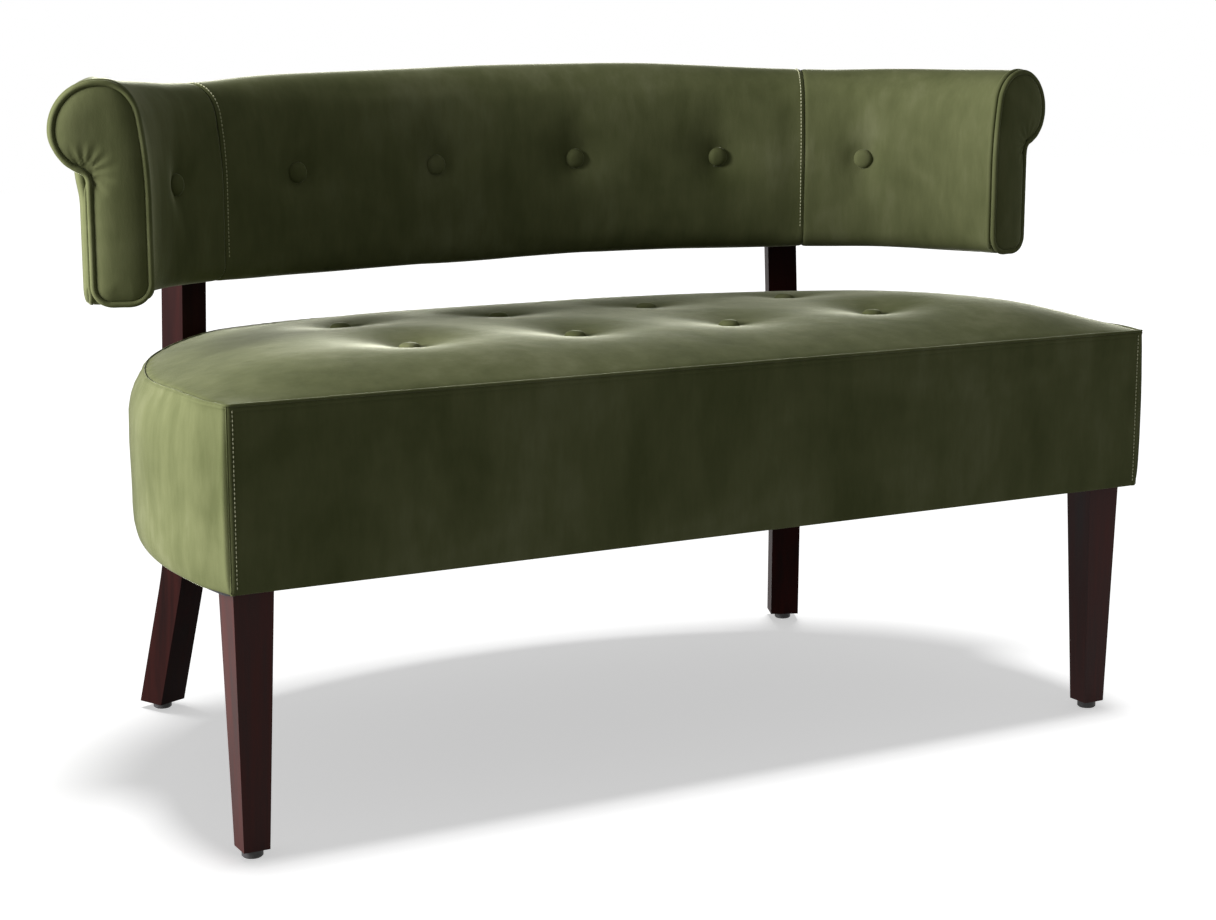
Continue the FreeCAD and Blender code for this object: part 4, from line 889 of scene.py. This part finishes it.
def seat_top():
    """The crowned and tufted top of the seat."""
    line = without_repeats(np.concatenate([SEAM_LINE, front_line(190, FRONT_Y)]), 1e-5)
    plan, faces, boundary = filled(line, 0.0065)
    far = -2.0
    side_line = np.concatenate([SEAM_LINE, [[-SEAT_FRONT_HALF, far], [SEAT_FRONT_HALF, far]]])
    away_side = edge_distance(plan, side_line)
    away_front = plan[:, 1] - FRONT_Y
    z = SEAM_Z + crown_height(plan, away_side, away_front)
    pinned = np.zeros(len(plan))
    pinned[np.minimum(away_side, away_front) < 0.004] = 1
    for x, y in TUFTS:
        r = np.hypot(plan[:, 0] - x, plan[:, 1] - y)
        fall = np.clip((TUFT_REACH - r) / (TUFT_REACH - TUFT_WAIST), 0, 1)
        z = z - (z - TUFT_FLOOR) * fall ** 2.0
        pinned[r < BUTTON_WAIST] = 1
    verts = cloth_relax("seat_top_cloth", together(*plan.T, z), faces, pinned,
                        pressure=1.8, cap=0.003, spare=0.0, passes=20)
    edge = plan[boundary]
    verts[boundary, 2] = SEAM_Z - 0.0012 - seam_drop(edge)
    base = together(*edge.T, SEAM_Z - 0.014)
    velvet_piece("seat_top", *closed_fill(verts, faces, boundary, base), 0.85,
                 "seat_top_cover", "seat_foam")


seat_top()

# How far the seat's wall bulges at each height, along its sides and at its front corners.
WALL_PROFILE = np.array((
    (0.2800, -0.0004, -0.0015), (0.2815, 0.0024, -0.0005), (0.287, 0.0056, 0.0010),
    (0.296, 0.0080, 0.0022), (0.310, 0.0094, 0.0030), (0.340, 0.0098, 0.0036),
    (0.380, 0.0106, 0.0036), (0.410, 0.0096, 0.0030), (0.430, 0.0064, 0.0022),
    (0.443, 0.0028, 0.0018), (0.455, -0.0026, 0.0012), (0.4635, -0.0085, 0.0006),
    (0.4660, -0.0105, 0.0)))
LOW_HEIGHTS = (0.2865, 0.2835, 0.2815, 0.2804, 0.2800)


def leg_room(heights):
    """How far the wall can bulge at each height and place for a rear leg, and where that counts."""
    heading, foot, lean = radians(24.5), (0.42712, 0.21464), radians(1.9)
    toward = np.array([sin(heading), cos(heading)])
    across = np.array([toward[1], -toward[0]])
    beside = together(np.abs(AROUND[:, 0]), AROUND[:, 1]) - foot
    near = (beside @ toward) > -0.03
    gap = np.abs((beside @ across)[None, :] + (np.tan(lean) * heights)[:, None])
    facing = together(np.abs(AROUND_OUT[:, 0]), AROUND_OUT[:, 1]) @ toward
    room = (-0.0004 - beside @ toward) / np.maximum(facing, 0.3)
    return room[None, :] + 0.030 * smooth(0.019, 0.045, gap), near[None, :]


def seat_wall():
    """The cover of the seat's sides and back, flattened where the rear legs stand."""
    heights = np.concatenate([[SEAM_Z, 0.4654, 0.4645, 0.4634, 0.4622, 0.4610],
                              np.linspace(0.4590, 0.290, 32), LOW_HEIGHTS])
    full, flat = (np.interp(heights, WALL_PROFILE[:, 0], WALL_PROFILE[:, k])[:, None]
                  for k in (1, 2))
    weight = smooth(0.0, CORNER_SPAN, FROM_CORNER)[None, :]
    offset = full * weight + flat * (1 - weight)
    offset += 0.0011 * bump(heights - 0.4637, 0.0014)[:, None]
    limit, near = leg_room(heights)
    blocked = near & (offset > limit)
    offset = np.where(near, np.minimum(offset, limit), offset)
    plan = AROUND[None] + AROUND_OUT[None] * offset[..., None]
    sunk = heights[:, None] - smooth(0.41, SEAM_Z, heights)[:, None] * seam_drop(AROUND)[None, :]
    grid = np.concatenate([plan, sunk[..., None]], -1)
    pinned = edges_pinned(offset.shape, 6, 4)
    pinned[blocked] = 1
    verts = cloth_relax("seat_wall_cloth", grid.reshape(-1, 3), grid_faces(*offset.shape),
                        pinned.reshape(-1), pressure=0.6, cap=0.0025, spare=-0.002, passes=14)
    grid = verts.reshape(grid.shape)
    depth = 0.0095 + 0.0105 * (heights > 0.44)[:, None, None]
    inner = np.concatenate([AROUND[None] - AROUND_OUT[None] * depth, grid[..., 2:]], -1)
    velvet_piece("seat_side", *closed_shell(grid, inner), 0.85,
                 "seat_side_cover", "seat_side_padding")


seat_wall()


def seat_front():
    """The seat's front cover, with a flat ridge beside its seams."""
    edge = np.array([0, 0.0006, 0.0014, 0.0024, 0.0036, 0.0046, 0.0054, 0.0062, 0.0071, 0.0082,
                     0.010, 0.0125])
    inside = SEAT_FRONT_HALF - 0.017
    xs = np.concatenate([-SEAT_FRONT_HALF + edge, np.linspace(-inside, inside, 190),
                         (SEAT_FRONT_HALF - edge)[::-1]])
    heights = np.concatenate([SEAM_Z - edge, np.linspace(0.450, 0.290, 28), LOW_HEIGHTS])
    x, z = np.meshgrid(xs, heights)
    sewn = np.minimum(SEAM_Z - z, SEAT_FRONT_HALF - np.abs(x))
    rim = np.minimum(sewn, z - SEAT_LOW)
    y = FRONT_Y + 0.0015 - 0.0026 * quarter_round(rim, 0.010)
    ridge = 0.0008 * smooth(0.0004, 0.0016, sewn) * (1 - smooth(0.0046, 0.0062, sewn))
    y -= ridge - 0.0006 * bump(sewn - 0.0063, 0.0012)
    ripple = wavy(together(x, 0, z).reshape(-1, 3), 0.25, 5).reshape(x.shape)
    y += ripple * 0.0005 * smooth(0.01, 0.04, rim)
    grid = together(x, y, z)
    inner = grid + (0, 0.008, 0)
    inner[..., 0] -= np.sign(x) * 0.004 * (np.abs(x) > SEAT_FRONT_HALF - 0.006)
    velvet_piece("seat_front", *closed_shell(grid, inner), 0.85, "seat_front_cover")


seat_front()


def seat_seam_edges():
    """The thin raised edge of the seam round the seat's top, and down its front corners."""
    loop = np.concatenate([SEAM_LINE, front_line(200, FRONT_Y - 0.0006)])
    loop = together(*loop.T, SEAM_Z + 0.0001 - seam_drop(loop))
    path = resample(np.concatenate([loop, loop[:1]]), 0.004)[:-1]
    y = path[:, 1]
    radius = 0.00120 + 0.00045 * (y < FRONT_Y + 0.002) + 0.00012 * wavy(path, 0.03, 9)
    radius -= 0.00060 * smooth(-0.22, -0.02, y)
    parts = [tube(path, radius, 8)]
    z = np.linspace(SEAM_Z - 0.001, SEAT_LOW + 0.002, 50)
    for sign in (-1, 1):
        line = together(sign * (SEAT_FRONT_HALF - 0.0006), FRONT_Y + 0.0004, z)
        parts.append(tube(line, 0.0009, 8, closed=False))
    velvet_piece("seat_seam_edges", *merged(parts), 1.0)


seat_seam_edges()


# The buttons

def covered_button(seed):
    """A domed button with small pleats at its rim, on its own origin, with Z up."""
    draws = np.random.default_rng(seed)
    profile = ((0.0025, 0.0067), (0.0051, 0.0064), (0.0075, 0.0058), (0.0095, 0.0048),
               (0.0111, 0.0034), (0.0121, 0.0018), (BUTTON_R, 0.0003), (0.0121, -0.0012),
               (0.0100, -0.0020))
    top_z, under_z, segments = 0.00675, -0.0020, 40
    turn = np.linspace(0, 2 * pi, segments, endpoint=False)
    phase = draws.uniform(0, 6)
    verts = [(0, 0, top_z)]
    for r, z in profile:
        share = r / BUTTON_R
        pleat = (1 + 0.010 * share ** 4 * np.sin(14 * turn + phase)
                 + 0.006 * share ** 2 * np.sin(5 * turn + 2 * phase))
        verts += [(r * p * cos(t), r * p * sin(t), z) for t, p in zip(turn, pleat)]
    verts.append((0, 0, under_z))
    around = [(i, (i + 1) % segments) for i in range(segments)]
    faces = [(0, 1 + i, 1 + j) for i, j in around]
    faces += grid_faces(len(profile), segments, wrap_columns=True, start=1, flip=True)
    last = 1 + (len(profile) - 1) * segments
    faces += [(last + j, last + i, len(verts) - 1) for i, j in around]
    return np.array(verts), faces


def buttons():
    """The covered buttons in the seat's tufts, and those that face inward on the band."""
    parts = []
    for seed, (x, y) in enumerate(TUFTS, 100):
        verts, faces = covered_button(seed)
        parts.append((verts + (x, y, TUFT_FLOOR), faces))
    velvet_piece("seat_buttons_covered", *merged(parts), 1.0, "seat_buttons")
    parts = []
    for seed, s in enumerate(BACK_BUTTONS, 200):
        verts, faces = covered_button(seed)
        toward = np.append(-on_band(s, 0)[1], 0)
        across = np.array([toward[1], -toward[0], 0])
        turned = np.stack([across, np.cross(toward, across), toward])
        parts.append((band_points(s, BUTTON_DEPTH, BACK_BUTTON_Z) + verts @ turned, faces))
    velvet_piece("back_buttons_covered", *merged(parts), 1.0, "back_buttons")


buttons()


# The stitches

def on_line(grid, normal, s, at):
    """The line across a cover at one place along it, with its normals."""
    k = int(np.clip(np.searchsorted(s, at) - 1, 0, len(s) - 2))
    t = (at - s[k]) / (s[k + 1] - s[k])
    return [values[:, k] * (1 - t) + values[:, k + 1] * t for values in (grid, normal)]


def stitches(line, normal, seed):
    """Separate stitches along a line on a surface, each a short arched thread."""
    length, gap, radius, lift = 0.0030, 0.0014, 0.00062, 0.00030
    draws = np.random.default_rng(seed)
    run = run_length(line)
    arch = np.sin(np.linspace(0.12, pi - 0.12, 6))
    thick = radius * np.array([0.55, 0.95, 1.0, 1.0, 0.95, 0.55])
    parts = []
    start = gap
    while start + length < run[-1]:
        here = length * draws.uniform(0.92, 1.06)
        at = start + here * np.linspace(0, 1, 6)
        height = lift * arch + radius * (arch - 0.75)
        points = sampled(at, run, line) + unit(sampled(at, run, normal)) * height[:, None]
        parts.append(tube(points, thick, 6, closed=False))
        start += here + gap * draws.uniform(0.85, 1.2)
    return parts


def seam_threads():
    """The stitches of the back's two seams and of the seat's two front corners."""
    parts = []
    beside = SEAM_AT - 0.0048
    for seed, at in enumerate((-beside, beside), 21):
        line, normal = on_line(back_grid, back_normal, back_s, at)
        parts += stitches(line[16:-3], normal[16:-3], seed)
    tidy_normals(mesh_piece("back_seam_stitches", *merged(parts), thread, "twine"))
    parts = []
    z = np.linspace(SEAM_Z - 0.003, SEAT_LOW + 0.003, 60)
    for seed, sign in enumerate((-1, 1), 31):
        line = together(sign * (SEAT_FRONT_HALF - 0.0062), FRONT_Y - 0.0008, z)
        parts += stitches(line, np.tile([0.0, -1.0, 0.0], (len(z), 1)), seed)
    tidy_normals(mesh_piece("seat_corner_stitches", *merged(parts), thread, "twine"))


seam_threads()


# Floor, light and camera

def any_of(nodes, links, *rays):
    """1 for the named kinds of ray, 0 for the others."""
    path = nodes.new("ShaderNodeLightPath")
    seen = path.outputs[rays[0]]
    for ray in rays[1:]:
        either = node(nodes, "ShaderNodeMath", operation="MAXIMUM")
        links.new(seen, either.inputs[0])
        links.new(path.outputs[ray], either.inputs[1])
        seen = either.outputs[0]
    return seen


def floor_material():
    """A near white floor with a shadow, which throws little light back on the settee."""
    material, nodes, links, _ = new_material("pale_floor")
    nodes.clear()
    plain = node(nodes, "ShaderNodeBsdfDiffuse", Color=(0.80, 0.80, 0.80, 1))
    dim = node(nodes, "ShaderNodeBsdfDiffuse", Color=(0.30, 0.30, 0.30, 1))
    glow = node(nodes, "ShaderNodeEmission", Color=(1, 1, 1, 1), Strength=0.52)
    both, mix, out = (nodes.new("ShaderNode" + kind)
                      for kind in ("AddShader", "MixShader", "OutputMaterial"))
    for shader, socket in ((plain, both.inputs[0]), (glow, both.inputs[1]), (dim, mix.inputs[1]),
                           (both, mix.inputs[2]), (mix, out.inputs["Surface"])):
        links.new(shader.outputs[0], socket)
    links.new(any_of(nodes, links, "Is Camera Ray", "Is Glossy Ray"), mix.inputs[0])
    return material


FAR = 9
floor = mesh_piece("floor", [(-FAR, -FAR, 0), (FAR, -FAR, 0), (FAR, FAR, 0), (-FAR, FAR, 0)],
                   [(0, 1, 2, 3)], floor_material())


def white_world():
    """A world that looks white and gives only a low light."""
    light_level, seen_level = 0.19, 1.0
    world = bpy.data.worlds.new("studio")
    scene.world = world
    world.use_nodes = True
    nodes, links = world.node_tree.nodes, world.node_tree.links
    background = nodes["Background"]
    level = node(nodes, "ShaderNodeMix", data_type="FLOAT")
    level.inputs[2].default_value = light_level
    level.inputs[3].default_value = seen_level
    rays = any_of(nodes, links, "Is Camera Ray", "Is Glossy Ray", "Is Transmission Ray")
    links.new(rays, level.inputs[0])
    links.new(level.outputs[0], background.inputs["Strength"])
    background.inputs["Color"].default_value = (1, 1, 1, 1)


white_world()


def lamp(name, kind, place, state, **values):
    """A lamp that lights only the floor, or all but the floor."""
    light = bpy.data.lights.new(name, kind)
    for key, value in values.items():
        setattr(light, key, value)
    made = bpy.data.objects.new(name, light)
    scene.collection.objects.link(made)
    made.location = place
    group = bpy.data.collections.new(name + "_receivers")
    group.objects.link(floor)
    made.light_linking.receiver_collection = group
    group.collection_objects[0].light_linking.link_state = state
    return made


key_place, key_target = Vector((-3.0, 0.25, 1.30)), Vector((0.1, 0, 0.5))
key_lamp = lamp("key_left", "AREA", key_place, "EXCLUDE", shape="DISK", size=1.5, energy=228,
                color=(1.0, 0.985, 1.06))
key_lamp.rotation_mode = "QUATERNION"
key_lamp.rotation_quaternion = (key_target - key_place).to_track_quat("-Z", "Y")
lamp("overhead", "SUN", (0, 0, 3), "INCLUDE", energy=1.9, angle=radians(12))

YAW, PITCH = radians(28.952), radians(10.639)
camera = bpy.data.cameras.new("camera")
camera.sensor_width = 36
camera.lens = 68.88
view = bpy.data.objects.new("camera", camera)
scene.collection.objects.link(view)
view.location = (-1.3043, -2.3965, 0.8232)
view.rotation_euler = (pi / 2 - PITCH, 0, -YAW)
scene.camera = view
scene.view_settings.view_transform = "Standard"
